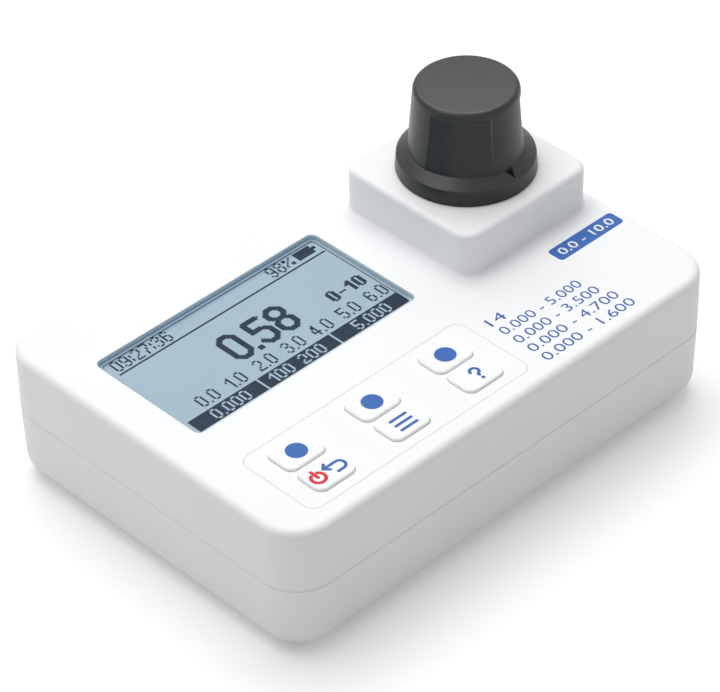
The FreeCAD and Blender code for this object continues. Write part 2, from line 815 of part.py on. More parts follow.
def make_display_window():
    """Clear window that drops onto the ledge."""
    window = body("display_window")
    top = "window_seat + window_thick"
    add(window, [round_box("window_x", "window_y", "window_length", "window_width", "window_corner")],
        "window_seat", top)
    chamfer(window, "window_bevel", flat_at(top))


def make_display():
    """Liquid crystal cell, its backlight and the frame that holds both on the main board."""
    glass = body("lcd_glass")
    add(glass, [box("window_x", "window_y", "back_glass_length", "back_glass_width")],
        "back_glass_bottom", "back_glass_level")
    add(glass, [box("window_x", "window_y", "opening_length - 2 * glass_side_gap",
                    "opening_width - 2 * glass_side_gap")], "back_glass_level", "window_seat - glass_gap")
    light = body("lcd_backlight")
    add(light, [round_box("window_x", "window_y", "light_length", "light_width", "1")],
        "light_bottom", "light_level")
    frame = body("lcd_frame")
    outer = round_box("window_x", "window_y", "frame_length + 2 * frame_wall",
                      "frame_width + 2 * frame_wall", "frame_wall")
    inner = box("window_x", "window_y", "frame_length", "frame_width")
    add(frame, [outer, inner], "board_level", "back_glass_level")
    hole = box("window_x", "window_y", "frame_length - 2 * shelf_width", "frame_width - 2 * shelf_width")
    add(frame, [box("window_x", "window_y", "frame_length + frame_wall", "frame_width + frame_wall"), hole],
        "light_bottom - shelf_thick", "light_bottom")


def make_keypad():
    """Soft mat that fills the opening, six keys that slide in it and the board below."""
    mat = body("keypad_mat")
    add(mat, [round_box("window_x", "keypad_y", "keypad_length + 2 * mat_flange",
                        "keypad_width + 2 * mat_flange", "keypad_corner + mat_flange")],
        "mat_bottom", "ceiling_level")
    add(mat, [round_box("window_x", "keypad_y", "keypad_length", "keypad_width", "keypad_corner")],
        "ceiling_level", "roof_level")
    holes, cavities = [], []
    for name in KEYS:
        x, y = key_place(name)
        holes.append(round_box(x, y, "key_length + 2 * key_gap", "key_width + 2 * key_gap",
                               "key_corner + key_gap"))
        cavities.append(box(x, y, "key_length + 2 * key_flange + 3 * key_gap", "key_width + 2 * key_gap"))
    cut(mat, holes, "mat_bottom", "roof_level")
    cut(mat, cavities, "mat_bottom", "key_cavity_top")
    for name in KEYS:
        x, y = key_place(name)
        key = body(name, x, y)
        add(key, [box("0", "0", "key_length + 2 * key_flange", "key_width - 2 * key_corner")],
            "key_flange_bottom", "key_flange_top")
        add(key, [round_box("0", "0", "key_length", "key_width", "key_corner")],
            "key_flange_bottom", "roof_level + key_rise")
        fillet(key, "key_edge", flat_at("roof_level + key_rise"))
    contacts = []
    for name in KEYS:
        x, y = key_place(name)
        contacts.append(cylinder(name + "_contact", "contact_radius", "contact_film", x, y, "mat_bottom"))
    group("key_contacts", contacts)
    board = body("keypad_board")
    add(board, [box("window_x", "keypad_y", "keypad_length + 2 * mat_flange - 2 * trim_gap",
                    "keypad_width + 2 * mat_flange - 2 * trim_gap")], "keypad_board_bottom", "mat_bottom")
    add(board, [round_box("window_x", "keypad_y", "ear_span + 2 * ear_radius", "2 * ear_radius + 2",
                          "ear_radius")], "keypad_board_bottom", "mat_bottom")
    cut(board, [disc(x, y, "small_screw_radius + thread_gap") for x, y in KEYPAD_HOLES],
        "keypad_board_bottom", "mat_bottom")
    small_screws("keypad_board_screws", KEYPAD_HOLES, "keypad_board_bottom", "roof_level - 2 * pilot_reserve")
    connector = body("keypad_connector")
    add(connector, [box("window_x", "connector_y", "connector_length", "connector_width")],
        "board_level", "keypad_board_bottom")


def small_screws(label, places, seat, tip, downward=False):
    """Screws with their heads against a seat and their shanks to a level past it."""
    screws = []
    for index, (x, y) in enumerate(places, start=1):
        head_base = seat if downward else "%s - small_head_height" % seat
        low, high = (tip, seat) if downward else (seat, tip)
        head = cylinder("%s_head_%d" % (label, index), "small_head_radius", "small_head_height",
                        x, y, head_base)
        shank = cylinder("%s_shank_%d" % (label, index), "small_screw_radius",
                         "(%s) - (%s)" % (high, low), x, y, low)
        screws.append(fused("%s_%d" % (label, index), [head, shank]))
    return group(label, screws)


def make_main_board():
    """Main board hung from the roof, with its chips on top and its buzzer below."""
    board = body("main_board")
    left, right, half = "board_left", "board_right", "board_depth / 2"
    step_x, step_y = "board_left + notch_length", "board_depth / 2 - notch_width"
    add(board, [polygon([
        (step_x, "-" + half), (right, "-" + half), (right, half), (step_x, half),
        (step_x, step_y), (left, step_y), (left, "-(%s)" % step_y), (step_x, "-(%s)" % step_y),
    ])], "board_bottom", "board_level")
    cut(board, [disc(x, y, "small_screw_radius + thread_gap") for x, y in BOARD_HOLES],
        "board_bottom", "board_level")
    small_screws("board_screws", BOARD_HOLES, "board_bottom", "roof_level - 2 * pilot_reserve")
    chips = []
    for step, side in enumerate(("memory_side", "processor_side", "driver_side"), start=-1):
        chips.append(primitive(
            "Part::Box", "chip_%d" % (step + 2), {"Length": side, "Width": side, "Height": "chip_thick"},
            "window_x + %d * chip_pitch - %s / 2" % (step, side), "chip_y - %s / 2" % side, "board_level"))
    group("board_chips", chips)
    buzzer = body("buzzer", "buzzer_x", "buzzer_y", "board_bottom - buzzer_height")
    add(buzzer, [disc("0", "0", "buzzer_radius")], "0", "buzzer_height")
    fillet(buzzer, "buzzer_height / 6", flat_at("0"))
    cut(buzzer, [disc("0", "0", "buzzer_radius / 6")], "0", "buzzer_height / 2")


def make_optics_block():
    """Black block: the sample well, its hanging plate and the two optical barrels."""
    block = body("optics_block", "boss_x", "boss_y")
    add(block, [disc("0", "0", "tube_radius")], "floor_level + tube_foot_gap", "boss_level - tube_sink")
    add(block, [disc("0", "0", "shoulder_radius")], "shoulder_level - shoulder_thick", "shoulder_level")
    add(block, [round_box("0", "0", "plate_length", "plate_width", "plate_corner")],
        "plate_level - plate_thick", "plate_level")
    for start, end, flange in (("-source_end", "0", "-source_end"),
                               ("0", "detector_end", "detector_end - end_flange_thick")):
        run_along_y(block, disc("0", "beam_level", "barrel_radius"), start, end, "PartDesign::Pad")
        run_along_y(block, round_box("0", "beam_level", "end_flange_length", "end_flange_height", "2"),
                    flange, flange + " + end_flange_thick", "PartDesign::Pad")
    cut(block, [disc("0", "0", "well_radius")], "well_floor_level", "boss_level - tube_sink")
    run_along_y(block, disc("0", "beam_level", "aperture_radius"), "-source_end", "detector_end",
                "PartDesign::Pocket")
    run_along_y(block, disc("0", "beam_level", "bore_radius"), "-source_end",
                "-tube_radius - bore_shoulder", "PartDesign::Pocket")
    run_along_y(block, disc("0", "beam_level", "bore_radius"), "tube_radius + bore_shoulder / 3",
                "detector_end", "PartDesign::Pocket")
    for start, end in (("-source_end", "-source_end + end_flange_thick"),
                       ("detector_end - end_flange_thick", "detector_end")):
        for side in SIDES:
            hole = disc("%d * end_hole_x" % side, "beam_level", "small_screw_radius + thread_gap")
            run_along_y(block, hole, start, end, "PartDesign::Pocket")
    cut(block, [disc("0", "-splitter_y", "reference_radius + optic_gap")], "beam_level",
        "beam_level + barrel_radius")
    cut(block, [disc("%d * plate_hole_x" % x, "%d * plate_hole_y" % y, "small_screw_radius + thread_gap")
                for x, y in CORNERS], "plate_level - plate_thick", "plate_level")
    small_screws("optics_screws", PLATE_HOLES, "plate_level - plate_thick", "roof_level - 2 * pilot_reserve")
    seal = body("well_seal", "boss_x", "boss_y")
    add(seal, [disc("0", "0", "shoulder_radius"), disc("0", "0", "tube_radius + well_seal_gap")],
        "shoulder_level", "boss_ceiling")


def lens(label, y):
    """Plano-convex lens: a cylinder along the beam, cut by a sphere."""
    blank = cylinder(label + "_blank", "optic_radius", "lens_thick", "boss_x", y, "beam_level",
                     Vector(1, 0, 0), -90)
    ball = primitive("Part::Sphere", label + "_ball", {"Radius": "lens_sphere"},
                     "boss_x", "(%s) + lens_thick - lens_sphere" % y, "beam_level")
    made = document.addObject("Part::Common", label)
    made.Base = blank
    made.Tool = ball
    return node(made)


def make_optics():
    """Light source, lenses, filter, splitter and the two detectors with their boards."""
    beam = {"x": "boss_x", "z": "beam_level", "along_y": True}
    emitter = body("led_emitter", y="boss_y - source_end", **beam)
    rim = "emitter_radius + emitter_rim"
    turned(emitter, [("0", "0"), (rim, "0"), (rim, "emitter_rim_thick"),
                     ("emitter_radius", "emitter_rim_thick"), ("emitter_radius", "emitter_length"),
                     ("emitter_radius * cos(45)", "emitter_length + emitter_radius * sin(45)"),
                     ("0", "emitter_length + emitter_radius")])
    lens("collimating_lens", "boss_y - collimator_y")
    node(cylinder("narrow_band_filter", "optic_radius", "filter_thick", "boss_x", "boss_y - filter_y",
                  "beam_level", Vector(1, 0, 0), -90))
    slope = "splitter_thick / 2 * cos(45)"
    node(cylinder("beam_splitter", "splitter_radius", "splitter_thick", "boss_x",
                  "boss_y - splitter_y + " + slope, "beam_level - " + slope, Vector(1, 0, 0), 45))
    reference = body("reference_detector", "boss_x", "boss_y - splitter_y", "beam_level + bore_radius")
    turned(reference, [("0", "0"), ("reference_radius", "0"), ("reference_radius", "reference_length"),
                       ("0", "reference_length")])
    lens("focusing_lens", "boss_y + focus_y")
    detector = body("sample_detector", y="boss_y + detector_end - detector_length", **beam)
    turned(detector, [("0", "0"), ("detector_radius", "0"),
                      ("detector_radius", "detector_length - detector_rim_thick"),
                      ("detector_radius + detector_rim", "detector_length - detector_rim_thick"),
                      ("detector_radius + detector_rim", "detector_length"), ("0", "detector_length")])
    screws = []
    for label, face, outward in (("led_board", "boss_y - source_end", -1),
                                 ("detector_board", "boss_y + detector_end", 1)):
        board = body(label, "boss_x", face, "beam_level", along_y=True)
        low, high = ("-circuit_thick", "0") if outward < 0 else ("0", "circuit_thick")
        add(board, [round_box("0", "0", "end_flange_length", "end_flange_height", "2")], low, high)
        cut(board, [disc("%d * end_hole_x" % side, "0", "small_screw_radius + thread_gap")
                    for side in SIDES], low, high)
        for side in SIDES:
            name = "%s_screw_%d" % (label, side + 2)
            head = cylinder(name + "_head", "small_head_radius", "small_head_height",
                            "boss_x + %d * end_hole_x" % side, "%s + %d * circuit_thick" % (face, outward),
                            "beam_level", Vector(1, 0, 0), -90 * outward)
            shank = cylinder(name + "_shank", "small_screw_radius", "circuit_thick + end_flange_thick * 0.8",
                             "boss_x + %d * end_hole_x" % side, "%s + %d * circuit_thick" % (face, outward),
                             "beam_level", Vector(1, 0, 0), 90 * outward)
            screws.append(fused(name, [head, shank]))
    group("sensor_board_screws", screws)


def make_batteries():
    """Three cells under the holder that closes the battery ring, with their sprung contacts."""
    for step, name in enumerate(("battery_left", "battery_middle", "battery_right"), start=-1):
        end = "battery_y + cell_length / 2"
        start = "battery_y - cell_length / 2"
        x = "battery_x + %d * cell_pitch" % step
        low, high = ("0", "cell_length - cell_nub_length") if step else ("cell_nub_length", "cell_length")
        can = cylinder(name + "_can", "cell_radius", "cell_length - cell_nub_length", x,
                       "%s + %s" % (start, low), "cell_level", Vector(1, 0, 0), -90)
        nub_y = "%s - cell_nub_length" % end if step else start
        nub = cylinder(name + "_nub", "cell_nub_radius", "cell_nub_length", x, nub_y, "cell_level",
                       Vector(1, 0, 0), -90)
        node(fused(name, [can, nub]))
    holder = body("battery_holder", "battery_x", "battery_y")
    add(holder, [disc("0", "0", "ring_outer")], "holder_level", "holder_level + holder_thick")
    add(holder, [disc("ring_boss_centre * cos(%d)" % angle, "ring_boss_centre * sin(%d)" % angle,
                      "ring_boss_radius") for angle in RING_ANGLES],
        "holder_level", "holder_level + holder_thick")
    cut(holder, [disc("ring_boss_centre * cos(%d)" % angle, "ring_boss_centre * sin(%d)" % angle,
                      "small_screw_radius + thread_gap") for angle in RING_ANGLES],
        "holder_level", "holder_level + holder_thick")
    add(holder, [box("%d * cell_pitch / 2" % side, "0", "rib_thick", "rib_length") for side in SIDES],
        "cell_level", "holder_level + holder_thick / 2")
    add(holder, [box("0", "%d * (end_wall_y + end_wall_thick / 2)" % side, "end_wall_length",
                     "end_wall_thick") for side in SIDES],
        "holder_level - end_wall_depth", "holder_level + holder_thick / 2")
    small_screws("holder_screws", RING_HOLES, "holder_level + holder_thick",
                 "holder_level - holder_screw_grip", downward=True)
    strips = body("battery_contacts", "battery_x", "battery_y")
    sketch = sketch_on(strips, "-cell_pitch - strip_width / 2", plane="YZ_Plane")
    for side in SIDES:
        back, touch = "%d * end_wall_y" % side, "%d * (cell_length / 2 + strip_touch)" % side
        front = "%d * (end_wall_y - strip_thick)" % side
        bend = "%d * (cell_length / 2 + strip_touch + strip_thick)" % side
        low, high = "cell_level - strip_height / 2", "cell_level + strip_height / 2"
        polygon([(back, low), (back, high), (front, high), (touch, "cell_level + strip_thick"),
                 (touch, "cell_level - strip_thick"), (bend, "cell_level - strip_thick"),
                 (front, high + " - 3 * strip_thick"), (front, low)])(sketch)
    feature = strips.newObject("PartDesign::Pad", "battery_contacts_pad")
    feature.Profile = sketch
    bind(feature, "Length", "strip_width")
    row = strips.newObject("PartDesign::LinearPattern", "battery_contacts_row")
    row.Originals = [feature]
    row.Direction = (origin_feature(strips, "X_Axis"), [""])
    bind(row, "Length", "2 * cell_pitch")
    row.Occurrences = 3
    strips.Tip = row


def make_battery_cover():
    """Round cover with a coin slot, a ribbed inside and three bayonet lugs, and its seal."""
    cover = body("battery_cover", "battery_x", "battery_y")
    skirt_inner = "skirt_radius - skirt_wall"
    add(cover, [disc("0", "0", "cover_radius")], "foot_height", "disc_level")
    add(cover, [disc("0", "0", "skirt_radius"), disc("0", "0", skirt_inner)], "foot_height", "lug_top")
    add(cover, [disc("0", "0", "cover_hub_radius"), disc("0", "0", "cover_hub_radius - cover_rib_thick")],
        "disc_level - cover_seal_depth", "lug_bottom")
    rib = add(cover, [box("(cover_hub_radius + skirt_radius) / 2 - skirt_wall / 2", "0",
                          "skirt_radius - cover_hub_radius", "cover_rib_thick")],
              "disc_level - cover_seal_depth", "lug_bottom")
    pattern(cover, rib, 6)
    lug = add(cover, [box("skirt_radius + lug_reach / 2 - skirt_wall / 4", "0", "lug_reach + skirt_wall / 2",
                          "lug_width")], "lug_bottom", "lug_top")
    pattern(cover, lug, 3)
    seal_outer = "cover_seal_radius + cover_seal_width"
    cut(cover, [disc("0", "0", seal_outer), disc("0", "0", "cover_seal_radius")],
        "disc_level - cover_seal_depth", "disc_level")
    cut(cover, [round_box("0", "0", "coin_length", "coin_width", "coin_width / 2.2")],
        "foot_height", "foot_height + coin_depth")
    seal = body("cover_seal", "battery_x", "battery_y")
    add(seal, [disc("0", "0", seal_outer), disc("0", "0", "cover_seal_radius")],
        "disc_level - cover_seal_depth", "disc_level")


def make_cuvette():
    """Glass sample cuvette in the well, with its screw stopper."""
    glass = body("sample_cuvette", "boss_x", "boss_y")
    inner, neck_inner = "cuvette_radius - cuvette_wall", "neck_radius - neck_wall"
    turned(glass, [
        ("0", "well_floor_level"), ("cuvette_radius", "well_floor_level"),
        ("cuvette_radius", "cuvette_level"), ("neck_radius", "neck_bottom"),
        ("neck_radius", "neck_level"), (neck_inner, "neck_level"),
        (neck_inner, "neck_bottom - cuvette_wall / 2"), (inner, "cuvette_level - cuvette_wall / 2"),
        (inner, "well_floor_level + cuvette_floor"), ("0", "well_floor_level + cuvette_floor"),
    ])
    stopper = body("cuvette_stopper", "boss_x", "boss_y")
    skirt = "neck_radius + stopper_gap"
    turned(stopper, [("0", "neck_level"), (skirt, "neck_level"), (skirt, "stopper_bottom"),
                     ("stopper_radius", "stopper_bottom"), ("stopper_radius", "stopper_level"),
                     ("0", "stopper_level")])
    flute = cut(stopper, [disc("stopper_radius + stopper_flute / 2", "0", "stopper_flute")],
                "stopper_bottom", "stopper_level")
    pattern(stopper, flute, 18)


def make_light_shield_cap():
    """Light shield over the cuvette: a wide flange and a tapered knob with three finger scoops."""
    cap = body("light_shield_cap", "boss_x", "boss_y", "boss_level")
    step = "cuvette_level + cap_mouth_gap - boss_level"
    bore_top = "cap_height - cap_roof"
    turned(cap, [
        ("cap_mouth_radius", "0"), ("flange_radius", "0"), ("flange_rim_radius", "flange_height"),
        ("knob_base_radius", "knob_base"), ("knob_top_radius", "cap_height"), ("0", "cap_height"),
        ("0", bore_top), ("cap_bore_radius", bore_top), ("cap_bore_radius", step),
        ("cap_mouth_radius", step),
    ])
    fillet(cap, "knob_edge", flat_at("cap_height"))
    scoop_top = "cap_height - grip_top"
    slope = "(knob_base_radius - knob_top_radius) / (cap_height - knob_base)"
    low_radius = "knob_base_radius - grip_depth"
    high_radius = low_radius + " - (cap_height - grip_top - knob_base) * " + slope
    sketch = sketch_on(cap, plane="XZ_Plane")
    swing(sketch, Vector(0, 1, 0), "grip_start")
    polygon([(low_radius, "knob_base"), (low_radius + " + 2 * grip_depth", "knob_base"),
             (high_radius + " + 3 * grip_depth", scoop_top + " + 2 * grip_depth"),
             (high_radius, scoop_top)])(sketch)
    scoop = cap.newObject("PartDesign::Groove", "grip_scoop")
    scoop.Profile = sketch
    scoop.ReferenceAxis = (sketch, ["V_Axis"])
    bind(scoop, "Angle", "grip_angle")
    pattern(cap, scoop, 3)
    index_top = "2 * knob_base - index_floor"
    index_start = "-sqrt(knob_base_radius ^ 2 - (index_width / 2) ^ 2)"
    run_along_y(cap, polygon([("0", "index_floor"), ("index_width", index_top), ("-index_width", index_top)]),
                "-flange_radius", index_start, "PartDesign::Pocket")


make_top_case()
make_bottom_case()
make_case_gasket()
make_case_screws()
make_rubber_feet()
make_display_window()
make_display()
make_keypad()
make_main_board()
make_optics_block()
make_optics()
make_batteries()
make_battery_cover()
make_cuvette()
make_light_shield_cap()
document.recompute()

# Every object has to be sound before anything is written
for thing in document.Objects:
    if "Invalid" in thing.State or "Error" in thing.State:
        raise RuntimeError("%s failed: %s" % (thing.Name, thing.State))
for thing in nodes:
    if thing.Shape.isNull() or not thing.Shape.isValid():
        raise RuntimeError("%s has no sound shape" % thing.Label)

os.makedirs("parts", exist_ok=True)
for thing in nodes:
    thing.Shape.exportStep("parts/%s.step" % thing.Label)
    print("%-22s %9.1f mm3" % (thing.Label, thing.Shape.Volume))
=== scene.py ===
"""Looks of the portable photometer: finishes, display image, cap, symbols, numbers, light and camera.

Lengths are in metres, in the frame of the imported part: +X runs along the display's lines to the right,
+Y to the back and +Z up.
"""

import json
import math

import bmesh
import bpy
from mathutils import Matrix, Vector


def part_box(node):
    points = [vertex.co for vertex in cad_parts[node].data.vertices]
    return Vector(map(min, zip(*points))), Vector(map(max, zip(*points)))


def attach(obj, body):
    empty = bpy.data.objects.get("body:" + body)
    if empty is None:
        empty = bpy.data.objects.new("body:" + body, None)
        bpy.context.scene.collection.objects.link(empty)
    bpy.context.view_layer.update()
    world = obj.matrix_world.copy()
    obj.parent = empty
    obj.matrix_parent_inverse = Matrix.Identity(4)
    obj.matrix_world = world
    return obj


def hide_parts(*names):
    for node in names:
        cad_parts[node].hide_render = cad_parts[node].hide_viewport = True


MM = 0.001

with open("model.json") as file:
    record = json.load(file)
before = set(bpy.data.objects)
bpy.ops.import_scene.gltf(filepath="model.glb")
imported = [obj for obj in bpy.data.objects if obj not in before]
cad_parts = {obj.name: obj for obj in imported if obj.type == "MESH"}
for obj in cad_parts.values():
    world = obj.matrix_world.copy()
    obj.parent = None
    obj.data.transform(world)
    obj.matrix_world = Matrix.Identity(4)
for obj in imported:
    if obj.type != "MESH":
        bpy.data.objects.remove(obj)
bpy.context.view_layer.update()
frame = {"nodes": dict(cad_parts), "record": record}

# Camera, solved from the edges of the case in the photograph
IMAGE_WIDTH = 720
SENSOR_WIDTH = 36.0
FOCAL_PIXELS = 3552.739
CAMERA_AZIMUTH = math.radians(-43.675)
CAMERA_ELEVATION = math.radians(39.112)
CAMERA_ROLL = math.radians(-1.216)
CAMERA_DISTANCE = 868.695 * MM
CAMERA_TARGET = Vector((3.465, 4.424, 20.68)) * MM

# Levels of the surfaces that carry print
DECK_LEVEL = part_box("keypad_mat")[1].z
KEY_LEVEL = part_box("key_left")[1].z
CELL_GLASS_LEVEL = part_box("lcd_glass")[1].z
INK_THICKNESS = 0.03 * MM
COAT_STEP = 0.004 * MM

# Display image
CELL = 0.541 * MM
DISPLAY_LEFT = -58.6 * MM
DISPLAY_BOTTOM = -6.35 * MM
DISPLAY_COLUMNS = 128
DISPLAY_ROWS = 64
CELL_INSET = 0.012 * MM
BAR_ROWS = 9
BAR_DIVIDERS = (41, 85)
RULE_ROW = 53
STATUS_ROW = 55
CLOCK_COLUMN = 3
CHARGE_COLUMN = 96
GAUGE_COLUMNS = (113, 122)
READING_PLACE = (45, 22)
RANGE_PLACE = (103, 23)
SCALE_PLACE = (13, 11)
SCALE_PITCH = 17
SCALE_NUMBERS = 7
BAR_FIELDS = (("0.000", 12), ("100 200", 46), ("5.000", 97))

# Printed border of the window, toned with painted light and shade: a strip near its top at the front, and a
# ring that hides its ledge
BORDER_STRIP_WIDTH = 0.76 * MM
BORDER_LEDGE_WIDTH = 1.1 * MM
BORDER_INSET = 0.03 * MM
WINDOW_BEVEL = 0.2 * MM
WINDOW_CORNER = 2.0 * MM
WINDOW_SKIN = 0.01 * MM
CLEAR_ALPHA = 0.04
SHADE_REACH = 1.4 * MM

# Light-shield cap, with the sizes of its solid and softer sides to its grip scoops
FLANGE_RIM_RADIUS = 17.35 * MM
FLANGE_HEIGHT = 4.3 * MM
FLANGE_EDGE = 0.3 * MM
KNOB_BASE = 6.0 * MM
KNOB_BASE_RADIUS = 14.5 * MM
KNOB_TOP_RADIUS = 13.1 * MM
KNOB_EDGE = 1.4 * MM
MOUTH_RADIUS = 13.2 * MM
MOUTH_HEIGHT = 4.0 * MM
BORE_RADIUS = 11.6 * MM
CAP_ROOF = 2.5 * MM
GRIP_COUNT = 3
GRIP_START = 181.0
GRIP_ANGLE = 70.0
GRIP_DEPTH = 1.2 * MM
GRIP_ROUND = 20.0 * MM
GRIP_FOOT = 0.25
GRIP_TOP = 2.2 * MM
GRIP_SIDE = 0.9 * MM
GRIP_FADE = 0.8 * MM
# Painted highlight along the scoops' side edges: its width, and its weaker share on their far edges
SHINE_WIDTH = 0.3 * MM
FAR_SHINE = 0.55
INDEX_WIDTH = 2.6 * MM
INDEX_FLOOR = 4.35 * MM
CONE_SLOPE = (KNOB_BASE - FLANGE_HEIGHT) / (FLANGE_RIM_RADIUS - KNOB_BASE_RADIUS)
CAP_STEPS = 720
CONE_RINGS = 12
KNOB_RINGS = 6
EDGE_RINGS = 4
KNOB_EDGE_RINGS = 10
SHARP_ANGLE = math.radians(40)

# Keys and their symbols
DOT_RADIUS = 2.69 * MM
DOT_OFFSET_Y = 0.1 * MM
STROKE = 0.8 * MM
POWER_STROKE = 0.9 * MM

# Printed numbers on the deck: text, right end in mm and baseline in mm
NUMBER_ROWS = (
    ("14", 20.9, -28.6),
    ("0.000 - 5.000", 42.6, -33.1),
    ("0.000 - 3.500", 44.0, -37.7),
    ("0.000 - 4.700", 45.8, -42.3),
    ("0.000 - 1.600", 46.6, -46.9),
)
ROW_START = 15.6 * MM
DIGIT_HEIGHT = 3.0 * MM
BADGE_CORNER = 1.1 * MM
BADGE_MARGIN_X = 1.9 * MM
BADGE_MARGIN_Y = 1.2 * MM
BADGE_DIGIT_HEIGHT = 2.75 * MM

# Inks and edges, as linear colours
BLUE_INK = (0.035, 0.128, 0.42)
RED_INK = (0.640, 0.024, 0.036)
DISPLAY_INK = (0.024, 0.042, 0.074)
WHITE_INK = (0.86, 0.88, 0.90)
# Border tones of painted light and shade: pale at the lit front, darker at the sides, darkest in the shade
# at the back
LIT_FRONT_TONE = (0.60, 0.69, 0.74)
BORDER_SIDE = (0.345, 0.44, 0.50)
SHADED_BACK_TONE = (0.285, 0.40, 0.52)
# Painted reflection of the cell on the window plate's sides
PLATE_EDGE_REFLECTION = (0.66, 0.86, 0.97)
# Tone of the painted highlight on the cap's scoop edges
PAINTED_HIGHLIGHT_BLACK = (0.15, 0.155, 0.155)
COPPER_TRACK = (0.05, 0.24, 0.09)
COPPER_BAND = (0.62, 0.27, 0.1)

# Light: name, place, side in metres and power of each lamp
SOFTBOXES = (
    ("softbox_right", Vector((0.27, 0.42, 1.14)), 1.1, 11.2),
    ("softbox_left", Vector((-0.45, 0.32, 1.02)), 0.8, 2.6),
)
WORLD_FILL = 0.40
FLOOR_HALF = 3.0
FLOOR_TONE = 0.82
FLOOR_GLOW = 0.25


# Materials

def new_node(tree, kind, **values):
    """A new node of that kind. Values are set on its attributes or on its input sockets of that name."""
    node = tree.nodes.new(kind)
    for name, value in values.items():
        if hasattr(node, name):
            setattr(node, name, value)
        else:
            node.inputs[name.replace("_", " ")].default_value = value
    return node


def object_place(tree, stretch=(1, 1, 1)):
    """The place on the piece in metres, stretched along its axes."""
    place = new_node(tree, "ShaderNodeTexCoord")
    mapping = new_node(tree, "ShaderNodeMapping")
    mapping.inputs["Scale"].default_value = stretch
    tree.links.new(place.outputs["Object"], mapping.inputs["Vector"])
    return mapping.outputs["Vector"]


def place_axes(tree):
    """The X, Y and Z of the place on the piece, in metres."""
    axes = new_node(tree, "ShaderNodeSeparateXYZ")
    tree.links.new(object_place(tree), axes.inputs["Vector"])
    return axes.outputs


def noise(tree, place, size, detail=2.0, roughness=0.5):
    """Noise whose lumps are about that size in metres."""
    made = new_node(tree, "ShaderNodeTexNoise")
    made.inputs["Scale"].default_value = 1.0 / size
    made.inputs["Detail"].default_value = detail
    made.inputs["Roughness"].default_value = roughness
    tree.links.new(place, made.inputs["Vector"])
    return made.outputs["Fac"]


def remap(tree, value, low, high, start=0.3, end=0.7):
    """A value that goes from low to high while the given one goes from start to end."""
    made = new_node(tree, "ShaderNodeMapRange")
    made.inputs["From Min"].default_value = start
    made.inputs["From Max"].default_value = end
    made.inputs["To Min"].default_value = low
    made.inputs["To Max"].default_value = high
    tree.links.new(value, made.inputs["Value"])
    return made.outputs["Result"]


def blend_colours(tree, share, first, second):
    """The first colour where the share is 0 and the second where it is 1. Each is a tuple or a socket."""
    made = new_node(tree, "ShaderNodeMix", data_type="RGBA")
    colours = [s for s in made.inputs if s.type == "RGBA"]
    for socket, colour in zip(colours, (first, second)):
        if isinstance(colour, tuple):
            socket.default_value = (*colour, 1.0)
        else:
            tree.links.new(colour, socket)
    tree.links.new(share, made.inputs[0])
    return next(s for s in made.outputs if s.type == "RGBA")


def tinted(colour, factor):
    return tuple(min(1.0, c * factor) for c in colour)


def surface(name, colour, roughness, drift=0.03, drift_size=30 * MM, smudge=0.06, smudge_size=9 * MM,
            grain=0.3 * MM, depth=0.004 * MM, stretch=(1, 1, 1), **shader):
    """A finish whose colour drifts a little, whose gloss is uneven from handling, under a fine grain."""
    material = bpy.data.materials.new(name)
    material.use_nodes = True
    tree = material.node_tree
    principled = tree.nodes["Principled BSDF"]
    place = object_place(tree, stretch)
    share = remap(tree, noise(tree, place, drift_size), 0.0, 1.0)
    tone = blend_colours(tree, share, tinted(colour, 1 - drift), tinted(colour, 1 + drift))
    tree.links.new(tone, principled.inputs["Base Color"])
    gloss = remap(tree, noise(tree, place, smudge_size, 4.0), roughness - smudge, roughness + smudge)
    tree.links.new(gloss, principled.inputs["Roughness"])
    bump = new_node(tree, "ShaderNodeBump")
    bump.inputs["Strength"].default_value = 1.0
    bump.inputs["Distance"].default_value = depth
    tree.links.new(noise(tree, place, grain, 3.0), bump.inputs["Height"])
    tree.links.new(bump.outputs["Normal"], principled.inputs["Normal"])
    for socket, value in shader.items():
        principled.inputs[socket.replace("_", " ")].default_value = value
    return material, tree, principled, tone


def case_shell():
    return surface("case_shell", (0.86, 0.87, 0.885), 0.52, drift=0.008, smudge=0.05,
                   grain=0.28 * MM, depth=0.0035 * MM, Specular_IOR_Level=0.25)[0]


def cover_shell():
    return surface("cover_shell", (0.84, 0.852, 0.872), 0.46, drift=0.012, grain=0.3 * MM,
                   depth=0.006 * MM)[0]


def keypad_mat():
    return surface("keypad_mat", (0.86, 0.87, 0.885), 0.52, drift=0.008, smudge=0.05,
                   grain=0.2 * MM, depth=0.003 * MM, Specular_IOR_Level=0.25)[0]


def key_cap():
    return surface("key_cap", (0.87, 0.88, 0.895), 0.54, drift=0.01, smudge=0.05, grain=0.2 * MM,
                   depth=0.003 * MM, Specular_IOR_Level=0.25)[0]


def case_gasket():
    return surface("case_gasket", (0.035, 0.035, 0.038), 0.7, drift=0.12, grain=0.15 * MM)[0]


def rubber_foot():
    return surface("rubber_foot", (0.028, 0.028, 0.03), 0.78, drift=0.15, drift_size=3 * MM,
                   grain=0.25 * MM, depth=0.02 * MM)[0]


def frame_black():
    return surface("frame_black", (0.02, 0.02, 0.022), 0.5, drift=0.1, grain=0.3 * MM)[0]


def optics_black():
    return surface("optics_black", (0.012, 0.012, 0.013), 0.72, drift=0.15, grain=0.12 * MM,
                   depth=0.015 * MM)[0]


def component_black():
    return surface("component_black", (0.018, 0.018, 0.02), 0.55, drift=0.15, drift_size=4 * MM,
                   grain=0.1 * MM, depth=0.006 * MM)[0]


